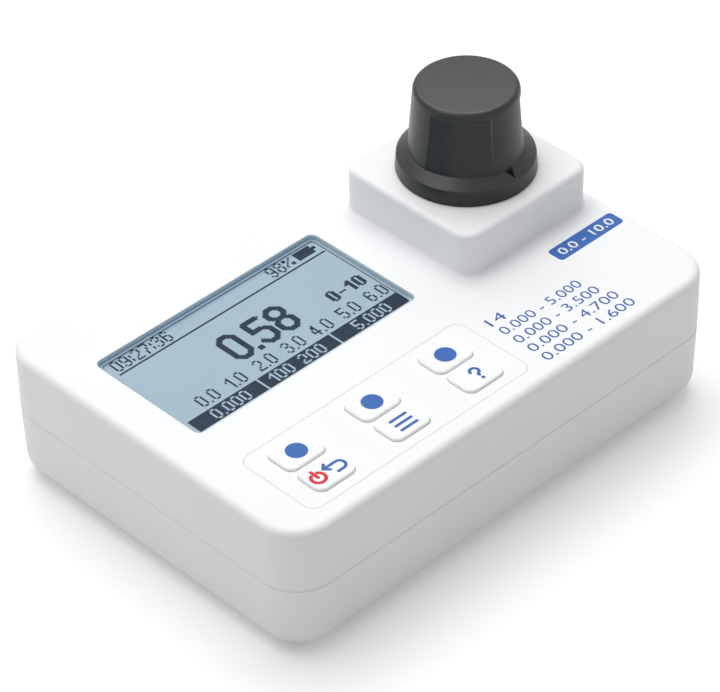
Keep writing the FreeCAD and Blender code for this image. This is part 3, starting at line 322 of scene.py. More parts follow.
def shield_black():
    """Satin black moulding, with a painted highlight: lighter along the side edges of its grip scoops."""
    material, tree, principled, tone = surface(
        "shield_black", (0.013, 0.0155, 0.016), 0.35, drift=0.06, drift_size=12 * MM, smudge=0.04,
        smudge_size=7 * MM, grain=0.24 * MM, depth=0.0045 * MM, Specular_IOR_Level=0.42)
    painted_highlight = new_node(tree, "ShaderNodeAttribute", attribute_name="painted_highlight")
    tree.links.new(blend_colours(tree, painted_highlight.outputs["Fac"], tone, PAINTED_HIGHLIGHT_BLACK),
                   principled.inputs["Base Color"])
    return material


def stopper_cap():
    return surface("stopper_cap", (0.024, 0.024, 0.026), 0.45, drift=0.1, grain=0.2 * MM)[0]


def screw_steel():
    return surface("screw_steel", (0.58, 0.58, 0.6), 0.32, drift=0.08, drift_size=2 * MM,
                   smudge_size=1.5 * MM, grain=0.08 * MM, depth=0.004 * MM, Metallic=1.0)[0]


def spring_plate():
    return surface("spring_plate", (0.72, 0.71, 0.68), 0.24, drift=0.05, drift_size=4 * MM,
                   grain=0.15 * MM, stretch=(1, 6, 1), Metallic=1.0)[0]


def contact_gold():
    return surface("contact_gold", (0.78, 0.56, 0.2), 0.28, drift=0.08, drift_size=2 * MM,
                   grain=0.1 * MM, Metallic=1.0)[0]


def detector_can():
    return surface("detector_can", (0.72, 0.68, 0.55), 0.26, drift=0.06, drift_size=3 * MM,
                   grain=0.1 * MM, Metallic=1.0)[0]


def connector_white():
    return surface("connector_white", (0.78, 0.76, 0.69), 0.5, drift=0.05, drift_size=5 * MM)[0]


def light_guide():
    return surface("light_guide", (0.9, 0.92, 0.93), 0.3, drift=0.02, drift_size=6 * MM)[0]


def led_resin():
    return surface("led_resin", (0.86, 0.88, 0.9), 0.12, drift=0.03, drift_size=2 * MM,
                   smudge=0.03, Transmission_Weight=0.6, IOR=1.5)[0]


def lens_glass():
    return surface("lens_glass", (0.93, 0.96, 0.96), 0.05, drift=0.01, smudge=0.03, smudge_size=3 * MM,
                   depth=0.0002 * MM, Transmission_Weight=1.0, IOR=1.52)[0]


def filter_glass():
    return surface("filter_glass", (0.42, 0.24, 0.62), 0.08, drift=0.2, drift_size=4 * MM, smudge=0.03,
                   depth=0.0002 * MM, Transmission_Weight=0.6, IOR=1.52)[0]


def cuvette_glass():
    return surface("cuvette_glass", (0.93, 0.965, 0.955), 0.05, drift=0.01, smudge=0.03,
                   smudge_size=6 * MM, grain=6 * MM, depth=0.01 * MM, Transmission_Weight=1.0,
                   IOR=1.5)[0]


def window_clear():
    """A thin clear plate. Its sides are opaque in a pale tone of the cell: a painted reflection of the
    cell, as the edges of such a plate show it.
    """
    material, tree, principled, tone = surface(
        "window_clear", (0.02, 0.025, 0.03), 0.06, drift=0.01, smudge=0.03, grain=8 * MM,
        depth=0.004 * MM, IOR=1.49)
    low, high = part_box("display_window")
    level = place_axes(tree)["Z"]
    below_top = remap(tree, level, 1.0, 0.0, high.z - 3 * WINDOW_SKIN, high.z - 2 * WINDOW_SKIN)
    above_underside = remap(tree, level, 0.0, 1.0, low.z + WINDOW_SKIN, low.z + 2 * WINDOW_SKIN)
    side = new_node(tree, "ShaderNodeMath", operation="MULTIPLY")
    tree.links.new(below_top, side.inputs[0])
    tree.links.new(above_underside, side.inputs[1])
    side = side.outputs["Value"]
    # Painted reflection: the sides, away from the top and the underside, are opaque in the pale cell tone
    tree.links.new(blend_colours(tree, side, tone, PLATE_EDGE_REFLECTION), principled.inputs["Base Color"])
    tree.links.new(remap(tree, side, CLEAR_ALPHA, 1.0, 0.0, 1.0), principled.inputs["Alpha"])
    return material


def lcd_cell():
    """Blue-grey reflective cell, in the shade of the window's frame along its back edge."""
    material, tree, principled, tone = surface(
        "lcd_cell", (0.415, 0.545, 0.635), 0.3, drift=0.025, drift_size=22 * MM, smudge=0.04,
        grain=0.12 * MM, depth=0.0008 * MM, Specular_IOR_Level=0.08)
    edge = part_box("display_window")[1].y - BORDER_LEDGE_WIDTH
    back = remap(tree, place_axes(tree)["Y"], 0.0, 1.0, edge - SHADE_REACH, edge)
    tree.links.new(blend_colours(tree, back, tone, SHADED_BACK_TONE), principled.inputs["Base Color"])
    return material


def circuit_board():
    """Green solder mask over copper tracks, with a fine weave below."""
    material, tree, principled, tone = surface(
        "circuit_board", (0.016, 0.12, 0.05), 0.28, drift=0.1, drift_size=10 * MM, grain=0.4 * MM,
        depth=0.004 * MM)
    track_pitch = 3.2 * MM
    tracks = new_node(tree, "ShaderNodeTexVoronoi", feature="DISTANCE_TO_EDGE", distance="MANHATTAN")
    tracks.inputs["Scale"].default_value = 1.0 / track_pitch
    tree.links.new(object_place(tree), tracks.inputs["Vector"])
    share = remap(tree, tracks.outputs["Distance"], 1.0, 0.0, 0.03, 0.06)
    tree.links.new(blend_colours(tree, share, tone, COPPER_TRACK), principled.inputs["Base Color"])
    return material


def battery_can():
    """Dark sleeve with a copper-coloured band at its positive end."""
    material, tree, principled, tone = surface(
        "battery_can", (0.02, 0.022, 0.026), 0.25, drift=0.1, drift_size=8 * MM)
    low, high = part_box("battery_left")
    band_share = 0.26
    band_start = high.y - band_share * (high.y - low.y)
    share = remap(tree, place_axes(tree)["Y"], 0.0, 1.0, band_start, band_start + 0.1 * MM)
    tree.links.new(blend_colours(tree, share, tone, COPPER_BAND), principled.inputs["Base Color"])
    return material


def ink(name, colour, roughness=0.45, specular=0.2):
    """Screen-printed ink: dense, with slight unevenness where the screen lifted."""
    return surface(name, colour, roughness, drift=0.05, drift_size=1.5 * MM, smudge=0.04,
                   smudge_size=2 * MM, grain=0.12 * MM, depth=0.002 * MM,
                   Specular_IOR_Level=specular)[0]


def border_print_and_shade():
    """The window's printed border, in tones of painted light and shade: pale along the lit front, and in
    the tone of the cell's shaded edge elsewhere, darkest at the back.
    """
    material, tree, principled, tone = surface(
        "border_print_and_shade", BORDER_SIDE, 0.45, drift=0.03, drift_size=9 * MM, grain=0.12 * MM,
        depth=0.002 * MM, Specular_IOR_Level=0.08)
    low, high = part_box("display_window")
    depth = place_axes(tree)["Y"]
    front_edge, back_edge = low.y + BORDER_LEDGE_WIDTH, high.y - BORDER_LEDGE_WIDTH
    front = remap(tree, depth, 1.0, 0.0, front_edge, front_edge + WINDOW_CORNER)
    back = remap(tree, depth, 0.0, 1.0, back_edge - WINDOW_CORNER, back_edge)
    tone = blend_colours(tree, front, tone, LIT_FRONT_TONE)
    tree.links.new(blend_colours(tree, back, tone, SHADED_BACK_TONE), principled.inputs["Base Color"])
    return material


FINISHES = {make.__name__: make() for make in (
    case_shell, cover_shell, keypad_mat, key_cap, case_gasket, rubber_foot, frame_black, optics_black,
    component_black, shield_black, stopper_cap, screw_steel, spring_plate, contact_gold, detector_can,
    connector_white, light_guide, led_resin, lens_glass, filter_glass, cuvette_glass, window_clear,
    lcd_cell, circuit_board, battery_can)}
BLUE = ink("blue_ink", BLUE_INK)
RED = ink("red_ink", RED_INK)
WHITE = ink("white_ink", WHITE_INK)
DARK = ink("display_ink", DISPLAY_INK, specular=0.08)
BORDER = border_print_and_shade()


def dress_nodes():
    """Every node of the frame gets the finish of its material slot."""
    for part in frame["record"]["subparts"]:
        mesh = frame["nodes"][part["node"]].data
        mesh.materials.clear()
        mesh.materials.append(FINISHES[part["material_slot"]])


# Shapes

def piece(name, mesh_builder, material, body):
    """A new piece that mesh_builder fills, with that material, riding on that body."""
    mesh = bpy.data.meshes.new(name)
    form = bmesh.new()
    mesh_builder(form)
    bmesh.ops.recalc_face_normals(form, faces=form.faces)
    form.to_mesh(mesh)
    form.free()
    mesh.materials.append(material)
    made = bpy.data.objects.new(name, mesh)
    bpy.context.scene.collection.objects.link(made)
    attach(made, body)
    return made


def prism(form, outline, low, high):
    """A closed flat form from an outline of (x, y) points between two levels."""
    bottom = [form.verts.new((x, y, low)) for x, y in outline]
    top = [form.verts.new((x, y, high)) for x, y in outline]
    form.faces.new(top)
    form.faces.new(bottom[::-1])
    for i in range(len(outline)):
        j = (i + 1) % len(outline)
        form.faces.new((bottom[i], bottom[j], top[j], top[i]))


def loop_band(form, outer, inner, low, high):
    """A closed flat ring between two outlines with the same number of (x, y) points."""
    loops = [[form.verts.new((x, y, level)) for x, y in outline]
             for level in (low, high) for outline in (outer, inner)]
    low_outer, low_inner, high_outer, high_inner = loops
    for a, b in ((low_outer, low_inner), (low_inner, high_inner), (high_inner, high_outer),
                 (high_outer, low_outer)):
        join_loops(form, a, b)


def join_loops(form, first, second):
    """Faces between two closed loops with the same number of corners."""
    for i in range(len(first)):
        j = (i + 1) % len(first)
        form.faces.new((first[i], first[j], second[j], second[i]))


def arc(x, y, radius, start, end, steps=24):
    """Points along an arc, with its angles in degrees."""
    angles = [math.radians(start + (end - start) * i / steps) for i in range(steps + 1)]
    return [(x + radius * math.cos(a), y + radius * math.sin(a)) for a in angles]


def round_rectangle(x0, y0, x1, y1, radius):
    """The outline of a rectangle with round corners."""
    corners = ((x1 - radius, y1 - radius, 0), (x0 + radius, y1 - radius, 90),
               (x0 + radius, y0 + radius, 180), (x1 - radius, y0 + radius, 270))
    return [p for x, y, start in corners for p in arc(x, y, radius, start, start + 90, 8)]


def stroke(path, width):
    """The outline of a line of that width along the path, with round ends and mitred corners."""
    half = width / 2
    least_mitre_share = 0.5
    points = [Vector(p) for p in path]
    steps = [(b - a).normalized() for a, b in zip(points, points[1:])]
    left, right = [], []
    for i, point in enumerate(points):
        before = steps[max(i - 1, 0)]
        after = steps[min(i, len(steps) - 1)]
        along = (before + after).normalized()
        side = Vector((-along.y, along.x)) * half / max(along.dot(after), least_mitre_share)
        left.append(tuple(point + side))
        right.append(tuple(point - side))
    first = math.degrees(math.atan2(steps[0].y, steps[0].x))
    last = math.degrees(math.atan2(steps[-1].y, steps[-1].x))
    end_cap = arc(*points[-1], half, last - 90, last + 90, 8)[1:-1]
    start_cap = arc(*points[0], half, first + 90, first + 270, 8)[1:-1]
    return right + end_cap + left[::-1] + start_cap


def printed(name, outlines, level, material, body):
    """Flat ink of one or more outlines on a surface at that level."""
    def build(form):
        for coat, outline in enumerate(outlines):
            prism(form, outline, level, level + INK_THICKNESS + coat * COAT_STEP)
    return piece(name, build, material, body)


def printed_text(name, text, x0, x1, baseline, height, level, material, body, weight=0.0):
    """Numbers in plain ink, from x0 to x1, with digits of that height above the baseline."""
    curve = bpy.data.curves.new(name, "FONT")
    curve.body = text
    curve.resolution_u = 5
    curve.offset = weight
    carrier = bpy.data.objects.new(name + "_text", curve)
    bpy.context.scene.collection.objects.link(carrier)
    bpy.context.view_layer.update()
    flat = bpy.data.meshes.new_from_object(carrier)
    bpy.data.objects.remove(carrier)
    xs = [v.co.x for v in flat.vertices]
    ys = [v.co.y for v in flat.vertices]
    across = (x1 - x0) / (max(xs) - min(xs))
    up = height / (max(ys) - min(ys))
    shift = Matrix.Translation((x0 - min(xs) * across, baseline - min(ys) * up, level))
    flat.transform(shift @ Matrix.Diagonal((across, up, 1, 1)))

    def build(form):
        form.from_mesh(flat)
        bmesh.ops.remove_doubles(form, verts=form.verts, dist=1e-7)
        top = bmesh.ops.extrude_face_region(form, geom=form.faces[:])
        raised = [e for e in top["geom"] if isinstance(e, bmesh.types.BMVert)]
        bmesh.ops.translate(form, verts=raised, vec=(0, 0, INK_THICKNESS))
    return piece(name, build, material, body)


# Display image

SMALL_FONT = {
    "0": (" ## ", "#  #", "#  #", "#  #", "#  #", "#  #", "#  #", " ## "),
    "1": ("  #", " ##", "# #", "  #", "  #", "  #", "  #", "  #"),
    "2": (" ## ", "#  #", "   #", "   #", "  # ", " #  ", "#   ", "####"),
    "3": (" ## ", "#  #", "   #", " ## ", "   #", "   #", "#  #", " ## "),
    "4": ("  # ", " ## ", " ## ", "# # ", "# # ", "####", "  # ", "  # "),
    "5": ("####", "#   ", "#   ", "### ", "   #", "   #", "#  #", " ## "),
    "6": (" ## ", "#  #", "#   ", "### ", "#  #", "#  #", "#  #", " ## "),
    "7": ("####", "   #", "   #", "  # ", "  # ", " #  ", " #  ", " #  "),
    "8": (" ## ", "#  #", "#  #", " ## ", "#  #", "#  #", "#  #", " ## "),
    "9": (" ## ", "#  #", "#  #", "#  #", " ###", "   #", "#  #", " ## "),
    ":": (" ", " ", "#", "#", " ", "#", "#", " "),
    ".": (" ", " ", " ", " ", " ", " ", " ", "#"),
    "-": ("   ", "   ", "   ", "   ", "###", "   ", "   ", "   "),
    "%": ("     ", "##  #", "## # ", "  #  ", " #   ", "#  ##", "#  ##", "     "),
    " ": ("   ",) * 8,
}

# The line of a small figure that is left out in the bar
SQUEEZED_LINE = 4


class Display:
    """The dots of the display that are dark, by column from the left and row from the bottom."""

    def __init__(self):
        self.dark = set()

    def fill(self, x0, y0, x1, y1, dark=True):
        """Sets the dots of a rectangle, its last column and row included."""
        area = {(x, y) for x in range(x0, x1 + 1) for y in range(y0, y1 + 1)}
        self.dark = self.dark | area if dark else self.dark - area

    def write(self, text, x, y, dark=True, bold=False, squeezed=False):
        """Small digits from column x with their feet on row y. It gives the column after the last one."""
        for character in text:
            lines = SMALL_FONT[character]
            if squeezed:
                lines = lines[:SQUEEZED_LINE] + lines[SQUEEZED_LINE + 1:]
            for row, line in enumerate(reversed(lines)):
                for column, mark in enumerate(line):
                    if mark == "#":
                        self.fill(x + column, y + row, x + column + bold, y + row, dark)
            x += len(lines[0]) + 1 + bold
        return x

    def draw(self, path, x, y, width, height, pen):
        """A large figure from a path in a unit square, drawn with a round pen that many dots wide."""
        points = [Vector((x + u * (width - pen), y + v * (height - pen))) for u, v in path]
        reach = pen / 2
        for a, b in zip(points, points[1:]):
            for column in range(x - 1, x + width + 1):
                for row in range(y - 1, y + height + 1):
                    spot = Vector((column + 0.5 - reach, row + 0.5 - reach))
                    along = b - a
                    share = max(0.0, min(1.0, (spot - a).dot(along) / along.length_squared))
                    if (spot - a - along * share).length < reach:
                        self.dark.add((column, row))

    def runs(self):
        """Unbroken runs of dark dots as (row, first column, column after the last)."""
        found = []
        for row in range(DISPLAY_ROWS):
            column = 0
            while column < DISPLAY_COLUMNS:
                start = column
                while (column, row) in self.dark and column < DISPLAY_COLUMNS:
                    column += 1
                if column > start:
                    found.append((row, start, column))
                column += 1
        return found


# Large figures as paths in a unit square
LARGE_FIGURES = {
    "0": ((0.3, 0), (0.7, 0), (1, 0.16), (1, 0.84), (0.7, 1), (0.3, 1), (0, 0.84), (0, 0.16), (0.3, 0)),
    "5": ((0.95, 1), (0.05, 1), (0.05, 0.56), (0.7, 0.56), (1, 0.42), (1, 0.16), (0.7, 0), (0.3, 0),
          (0, 0.16)),
    "8": ((0.3, 0.53), (0.05, 0.66), (0.05, 0.86), (0.3, 1), (0.7, 1), (0.95, 0.86), (0.95, 0.66),
          (0.7, 0.53), (1, 0.4), (1, 0.15), (0.7, 0), (0.3, 0), (0, 0.15), (0, 0.4), (0.3, 0.53),
          (0.7, 0.53)),
}
LARGE_WIDTH = 11
LARGE_HEIGHT = 20
LARGE_PEN = 3
POINT_SIDE = 3


def display_image():
    """A clock, a cell gauge, a reading, a scale of numbers and a bar with three key fields."""
    image = Display()
    image.fill(2, RULE_ROW, DISPLAY_COLUMNS - 3, RULE_ROW)
    image.write("09:27:36", CLOCK_COLUMN, STATUS_ROW)
    image.write("98%", CHARGE_COLUMN, STATUS_ROW)
    gauge_start, gauge_end = GAUGE_COLUMNS
    image.fill(gauge_start, STATUS_ROW + 1, gauge_end, STATUS_ROW + 6)
    image.fill(gauge_end + 1, STATUS_ROW + 3, gauge_end + 2, STATUS_ROW + 4)
    column, row = READING_PLACE
    for figure in "0.58":
        if figure == ".":
            image.fill(column, row, column + POINT_SIDE - 1, row + POINT_SIDE - 1)
            column += POINT_SIDE + 1
        else:
            image.draw(LARGE_FIGURES[figure], column, row, LARGE_WIDTH, LARGE_HEIGHT, LARGE_PEN)
            column += LARGE_WIDTH + 1
    image.write("0-10", *RANGE_PLACE, bold=True)
    column, row = SCALE_PLACE
    for number in range(SCALE_NUMBERS):
        image.write(f"{number}.0", column + number * SCALE_PITCH, row)
    image.fill(1, 0, DISPLAY_COLUMNS - 2, BAR_ROWS - 1)
    for divider in BAR_DIVIDERS:
        image.fill(divider, 0, divider, BAR_ROWS - 1, dark=False)
    for text, start in BAR_FIELDS:
        image.write(text, start, 1, dark=False, squeezed=True)
    return image


def make_display_image():
    """The display's dark dots, each run of them as one flat bar on the cell's glass."""
    runs = display_image().runs()

    def build(form):
        for row, start, end in runs:
            x0 = DISPLAY_LEFT + start * CELL + CELL_INSET
            x1 = DISPLAY_LEFT + end * CELL - CELL_INSET
            y0 = DISPLAY_BOTTOM + row * CELL + CELL_INSET
            y1 = y0 + CELL - 2 * CELL_INSET
            prism(form, ((x0, y0), (x1, y0), (x1, y1), (x0, y1)), CELL_GLASS_LEVEL,
                  CELL_GLASS_LEVEL + INK_THICKNESS)
    piece("display_image", build, DARK, "root")


def make_window_borders():
    """The ring over the window's ledge, and the strip under the front edge of its top."""
    low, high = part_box("display_window")

    def outline(inset, corner):
        return round_rectangle(low.x + inset, low.y + inset, high.x - inset, high.y - inset, corner)

    def build(form):
        level = low.z + INK_THICKNESS
        loop_band(form, outline(BORDER_INSET, WINDOW_CORNER - BORDER_INSET),
                  outline(BORDER_LEDGE_WIDTH, WINDOW_CORNER / 2), level, level + INK_THICKNESS)
        level = high.z - WINDOW_BEVEL - 2 * INK_THICKNESS
        strip = round_rectangle(low.x + WINDOW_CORNER / 2, low.y + BORDER_INSET,
                                high.x - WINDOW_CORNER / 2, low.y + BORDER_STRIP_WIDTH,
                                BORDER_STRIP_WIDTH / 3)
        prism(form, strip, level, level + INK_THICKNESS)
    # Both carry the border's painted light and shade
    piece("window_borders", build, BORDER, "root")


# Light-shield cap

def soft_step(value):
    """0 below 0, 1 above 1 and a smooth rise between."""
    share = max(0.0, min(1.0, value))
    return share * share * (3 - 2 * share)


def grip_place(angle, radius):
    """The angle from the middle of the nearest scoop, and how far inside the scoop's side that place is."""
    turn = (angle - GRIP_START) % (360.0 / GRIP_COUNT)
    inside = math.radians(min(turn, GRIP_ANGLE - turn)) * radius
    return math.radians(turn - GRIP_ANGLE / 2), inside


def grip_sink(angle, radius, height, top):
    """How deep that place on the knob is sunk into a scoop, whose floor is rounder than the knob."""
    off_middle, inside = grip_place(angle, radius)
    if inside <= 0:
        return 0.0
    reach = GRIP_ROUND - (radius - GRIP_DEPTH)
    along = reach * math.cos(off_middle)
    floor = math.sqrt(along * along - reach * reach + GRIP_ROUND * GRIP_ROUND) - along
    share = soft_step(inside / GRIP_SIDE) * soft_step((top - GRIP_TOP - height) / GRIP_FADE)
    rise = soft_step((height - KNOB_BASE) / (top / 2))
    return max(0.0, radius - floor) * share * (GRIP_FOOT + (1 - GRIP_FOOT) * rise)


def painted_highlight_share(angle, radius, height, top):
    """How strong the painted highlight on the scoop's side edges is there: most near their tops, and less
    on their far edges.
    """
    off_middle, inside = grip_place(angle, radius)
    rise = (height - KNOB_BASE) / (top - GRIP_TOP - KNOB_BASE)
    if not 0 < rise < 1:
        return 0.0
    most = 1.0 if off_middle < 0 else FAR_SHINE
    return max(0.0, 1 - abs(inside) / SHINE_WIDTH) * rise * most


def cap_profile(flange_radius, top):
    """The cap's section as (radius, height, kind), from the roof of its bore round to its top."""
    knob_slope = (KNOB_BASE_RADIUS - KNOB_TOP_RADIUS) / (top - KNOB_BASE)
    lean = math.degrees(math.atan(knob_slope))
    edge_height = top - KNOB_EDGE
    edge_x = (KNOB_BASE_RADIUS - knob_slope * (edge_height - KNOB_BASE)
              - KNOB_EDGE / math.cos(math.radians(lean)))
    rim = [(r, z, "flange") for r, z in arc(flange_radius - FLANGE_EDGE, FLANGE_EDGE, FLANGE_EDGE,
                                            -90, 0, EDGE_RINGS)]
    shoulder = [(r, z, "flange") for r, z in arc(FLANGE_RIM_RADIUS - FLANGE_EDGE,
                                                 FLANGE_HEIGHT - FLANGE_EDGE, FLANGE_EDGE, 0, 60,
                                                 EDGE_RINGS)]
    section = [(BORE_RADIUS, top - CAP_ROOF, "inside"), (BORE_RADIUS, MOUTH_HEIGHT, "inside"),
               (MOUTH_RADIUS, MOUTH_HEIGHT, "inside"), (MOUTH_RADIUS, 0.0, "inside")]
    section += rim + shoulder
    start_r, start_z, _ = shoulder[-1]
    for i in range(1, CONE_RINGS + 1):
        share = i / CONE_RINGS
        section.append((start_r + (KNOB_BASE_RADIUS - start_r) * share,
                        start_z + (KNOB_BASE - start_z) * share, "cone"))
    grip_end = top - GRIP_TOP
    grip_full = grip_end - GRIP_FADE
    heights = [KNOB_BASE + (grip_full - KNOB_BASE) * i / KNOB_RINGS for i in range(KNOB_RINGS + 1)]
    heights += [grip_end - GRIP_FADE * (1 - i / KNOB_RINGS) for i in range(1, KNOB_RINGS + 1)]
    section += [(KNOB_BASE_RADIUS - knob_slope * (z - KNOB_BASE), z, "knob") for z in heights]
    section += [(r, z, "top") for r, z in arc(edge_x, edge_height, KNOB_EDGE, lean, 90,
                                         KNOB_EDGE_RINGS)]
    return section


def cap_point(centre, base, radius, height, kind, angle, top):
    """A corner of the cap's surface, sunk into a scoop on the knob or into the index groove on the cone."""
    if kind == "knob":
        sink = grip_sink(angle, radius, height, top)
        radius -= sink
        if height == KNOB_BASE:
            height += sink * CONE_SLOPE
    x, y = radius * math.cos(math.radians(angle)), radius * math.sin(math.radians(angle))
    if kind in ("cone", "knob") and y < 0 and height <= KNOB_BASE:
        groove = INDEX_FLOOR + abs(x) * (KNOB_BASE - INDEX_FLOOR) / (INDEX_WIDTH / 2)
        height = min(height, groove)
    return centre.x + x, centre.y + y, base + height


def make_cap():
    """The light-shield cap, in the place of its solid, with soft scoops and edges."""
    low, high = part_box("light_shield_cap")
    centre = (low + high) / 2
    top = high.z - low.z
    section = cap_profile((high.x - low.x) / 2, top)

    def build(form):
        loops = []
        for radius, height, kind in section:
            angles = [360.0 * i / CAP_STEPS for i in range(CAP_STEPS)]
            loops.append([form.verts.new(cap_point(centre, low.z, radius, height, kind, a, top))
                          for a in angles])
        for first, second in zip(loops, loops[1:]):
            join_loops(form, first, second)
        form.faces.new(loops[0])
        form.faces.new(loops[-1])
        for face in form.faces:
            face.smooth = True
    cap = piece("shield_cap_shell", build, FINISHES["shield_black"], "shield_cap")
    cap.data.set_sharp_from_angle(angle=SHARP_ANGLE)
    # Painted highlight: a lighter tone along the scoops' side edges, kept as a share on each vertex
    painted_highlight = cap.data.attributes.new("painted_highlight", "FLOAT", "POINT")
    for vertex, mark in zip(cap.data.vertices, painted_highlight.data):
        x, y, z = vertex.co - Vector((centre.x, centre.y, low.z))
        mark.value = painted_highlight_share(math.degrees(math.atan2(y, x)), math.hypot(x, y), z, top)
    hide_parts("light_shield_cap")


# Printed symbols and numbers

def key_centre(key):
    low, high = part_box("key_" + key)
    return (low + high) / 2


def make_key_symbols():
    for key in ("left", "middle", "right"):
        centre = key_centre(key)
        disc = arc(centre.x, centre.y + DOT_OFFSET_Y, DOT_RADIUS, 0, 360, 64)[:-1]
        printed(key + "_key_dot", [disc], KEY_LEVEL, BLUE, key + "_key")
    make_power_symbol()
    make_return_symbol()
    make_menu_symbol()
    make_help_symbol()


def make_power_symbol():
    x, y = -51.75 * MM, -38.9 * MM
    radius = 1.75 * MM
    half_gap = 32
    bar_foot, bar_top = 0.1 * MM, 2.55 * MM
    ring = stroke(arc(x, y, radius, 90 + half_gap, 450 - half_gap, 40), POWER_STROKE)
    bar = stroke(((x, y + bar_foot), (x, y + bar_top)), POWER_STROKE)
    printed("power_symbol", [ring, bar], KEY_LEVEL, RED, "power_key")


def make_return_symbol():
    tip_x, end_x, turn_x = -49.0 * MM, -46.9 * MM, -45.2 * MM
    top, bottom = -37.55 * MM, -40.45 * MM
    barb = 1.15 * MM
    turn = arc(turn_x, (top + bottom) / 2, (top - bottom) / 2, 90, -90, 20)
    shaft = stroke([(tip_x, top), *turn, (end_x, bottom)], STROKE)
    head = stroke(((tip_x + barb, top + barb), (tip_x, top), (tip_x + barb, top - barb)), STROKE)
    printed("return_symbol", [shaft, head], KEY_LEVEL, BLUE, "power_key")


def make_menu_symbol():
    x0, x1 = -26.8 * MM, -21.9 * MM
    middle, pitch = -38.7 * MM, 1.95 * MM
    bars = [stroke(((x0, y), (x1, y)), STROKE) for y in (middle + pitch, middle, middle - pitch)]
    printed("menu_symbol", bars, KEY_LEVEL, BLUE, "menu_key")


def make_help_symbol():
    x, y = 0.05 * MM, -37.7 * MM
    radius = 1.15 * MM
    stem_top, stem_foot = y - 1.3 * MM, y - 1.75 * MM
    dot_y, dot_radius = y - 2.95 * MM, 0.5 * MM
    hook = [*arc(x, y, radius, 170, -42, 20), (x, stem_top), (x, stem_foot)]
    dot = arc(x, dot_y, dot_radius, 0, 360, 24)[:-1]
    printed("help_symbol", [stroke(hook, STROKE), dot], KEY_LEVEL, BLUE, "help_key")


def make_number_rows():
    for index, (text, end, baseline) in enumerate(NUMBER_ROWS, 1):
        printed_text(f"number_row_{index}", text, ROW_START, end * MM, baseline * MM, DIGIT_HEIGHT,
                     DECK_LEVEL, BLUE, "root", weight=-0.004)


def make_badge():
    x0, x1, y0, y1 = 45.9 * MM, 68.5 * MM, -23.0 * MM, -17.9 * MM
    plate = round_rectangle(x0, y0, x1, y1, BADGE_CORNER)
    printed("badge", [plate], DECK_LEVEL, BLUE, "root")
    printed_text("badge_numbers", "0.0 - 10.0", x0 + BADGE_MARGIN_X, x1 - BADGE_MARGIN_X,
                 y0 + BADGE_MARGIN_Y, BADGE_DIGIT_HEIGHT, DECK_LEVEL + INK_THICKNESS, WHITE, "root",
                 weight=0.012)


# Floor, light and camera

def make_floor():
    """A pale floor. It adds a little white of its own where the camera, gloss or glass sees it."""
    mesh = bpy.data.meshes.new("floor")
    corners = [(x * FLOOR_HALF, y * FLOOR_HALF, 0) for x, y in ((-1, -1), (1, -1), (1, 1), (-1, 1))]
    mesh.from_pydata(corners, [], [(0, 1, 2, 3)])
    floor = bpy.data.objects.new("floor", mesh)
    bpy.context.scene.collection.objects.link(floor)
    material = bpy.data.materials.new("floor_white")
    material.use_nodes = True
    tree = material.node_tree
    tree.nodes.clear()
    diffuse = new_node(tree, "ShaderNodeBsdfDiffuse")
    diffuse.inputs["Color"].default_value = (FLOOR_TONE, FLOOR_TONE, FLOOR_TONE, 1)
    glow = new_node(tree, "ShaderNodeEmission")
    seen = seen_ray(tree)
    tree.links.new(remap(tree, seen, 0.0, FLOOR_GLOW, 0.0, 1.0), glow.inputs["Strength"])
    both = new_node(tree, "ShaderNodeAddShader")
    tree.links.new(diffuse.outputs["BSDF"], both.inputs[0])
    tree.links.new(glow.outputs["Emission"], both.inputs[1])
    output = new_node(tree, "ShaderNodeOutputMaterial")
    tree.links.new(both.outputs["Shader"], output.inputs["Surface"])
    mesh.materials.append(material)


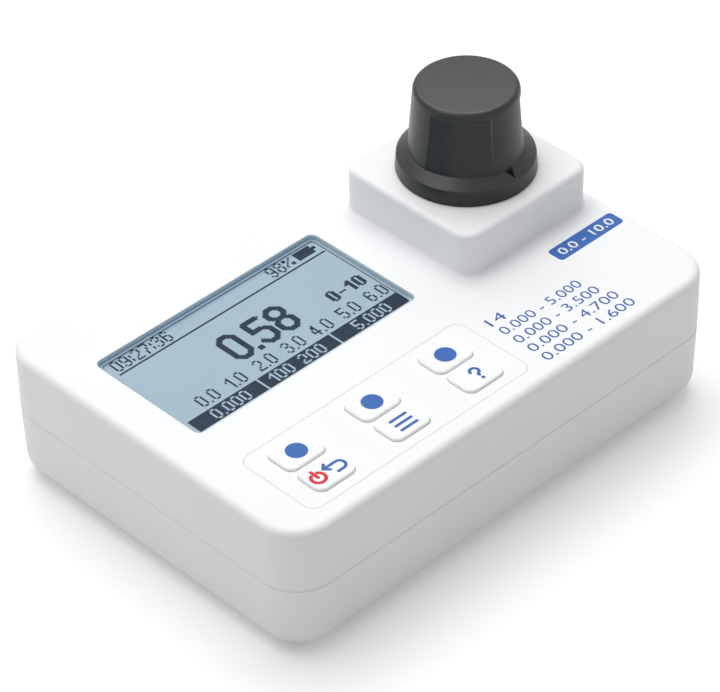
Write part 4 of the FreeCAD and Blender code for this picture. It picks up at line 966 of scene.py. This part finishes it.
def seen_ray(tree):
    """1 on a ray from the camera, or by way of gloss or glass."""
    path = new_node(tree, "ShaderNodeLightPath")
    total = path.outputs["Is Camera Ray"]
    for other in ("Is Glossy Ray", "Is Transmission Ray"):
        most = new_node(tree, "ShaderNodeMath", operation="MAXIMUM")
        tree.links.new(total, most.inputs[0])
        tree.links.new(path.outputs[other], most.inputs[1])
        total = most.outputs["Value"]
    return total


def make_light():
    world = bpy.data.worlds.new("studio")
    bpy.context.scene.world = world
    world.use_nodes = True
    tree = world.node_tree
    back = tree.nodes["Background"]
    back.inputs["Color"].default_value = (1, 1, 1, 1)
    tree.links.new(remap(tree, seen_ray(tree), WORLD_FILL, 1.0, 0.0, 1.0), back.inputs["Strength"])
    for name, place, size, power in SOFTBOXES:
        lamp = bpy.data.lights.new(name, "AREA")
        lamp.shape = "SQUARE"
        lamp.size = size
        lamp.energy = power
        holder = bpy.data.objects.new(name, lamp)
        bpy.context.scene.collection.objects.link(holder)
        holder.location = place
        holder.rotation_mode = "QUATERNION"
        holder.rotation_quaternion = place.to_track_quat("Z", "Y")


def make_camera():
    back = Vector((math.sin(CAMERA_AZIMUTH) * math.cos(CAMERA_ELEVATION),
                   -math.cos(CAMERA_AZIMUTH) * math.cos(CAMERA_ELEVATION), math.sin(CAMERA_ELEVATION)))
    level_right = Vector((0, 0, 1)).cross(back).normalized()
    level_up = back.cross(level_right)
    right = level_right * math.cos(CAMERA_ROLL) + level_up * math.sin(CAMERA_ROLL)
    up = back.cross(right)
    data = bpy.data.cameras.new("camera")
    data.sensor_width = SENSOR_WIDTH
    data.lens = FOCAL_PIXELS / IMAGE_WIDTH * SENSOR_WIDTH
    camera = bpy.data.objects.new("camera", data)
    bpy.context.scene.collection.objects.link(camera)
    turn = Matrix((right, up, back)).transposed().to_4x4()
    camera.matrix_world = Matrix.Translation(CAMERA_TARGET + back * CAMERA_DISTANCE) @ turn
    bpy.context.scene.camera = camera


dress_nodes()
make_display_image()
make_window_borders()
make_cap()
make_key_symbols()
make_number_rows()
make_badge()
make_floor()
make_light()
make_camera()
bpy.context.scene.view_settings.view_transform = "Standard"
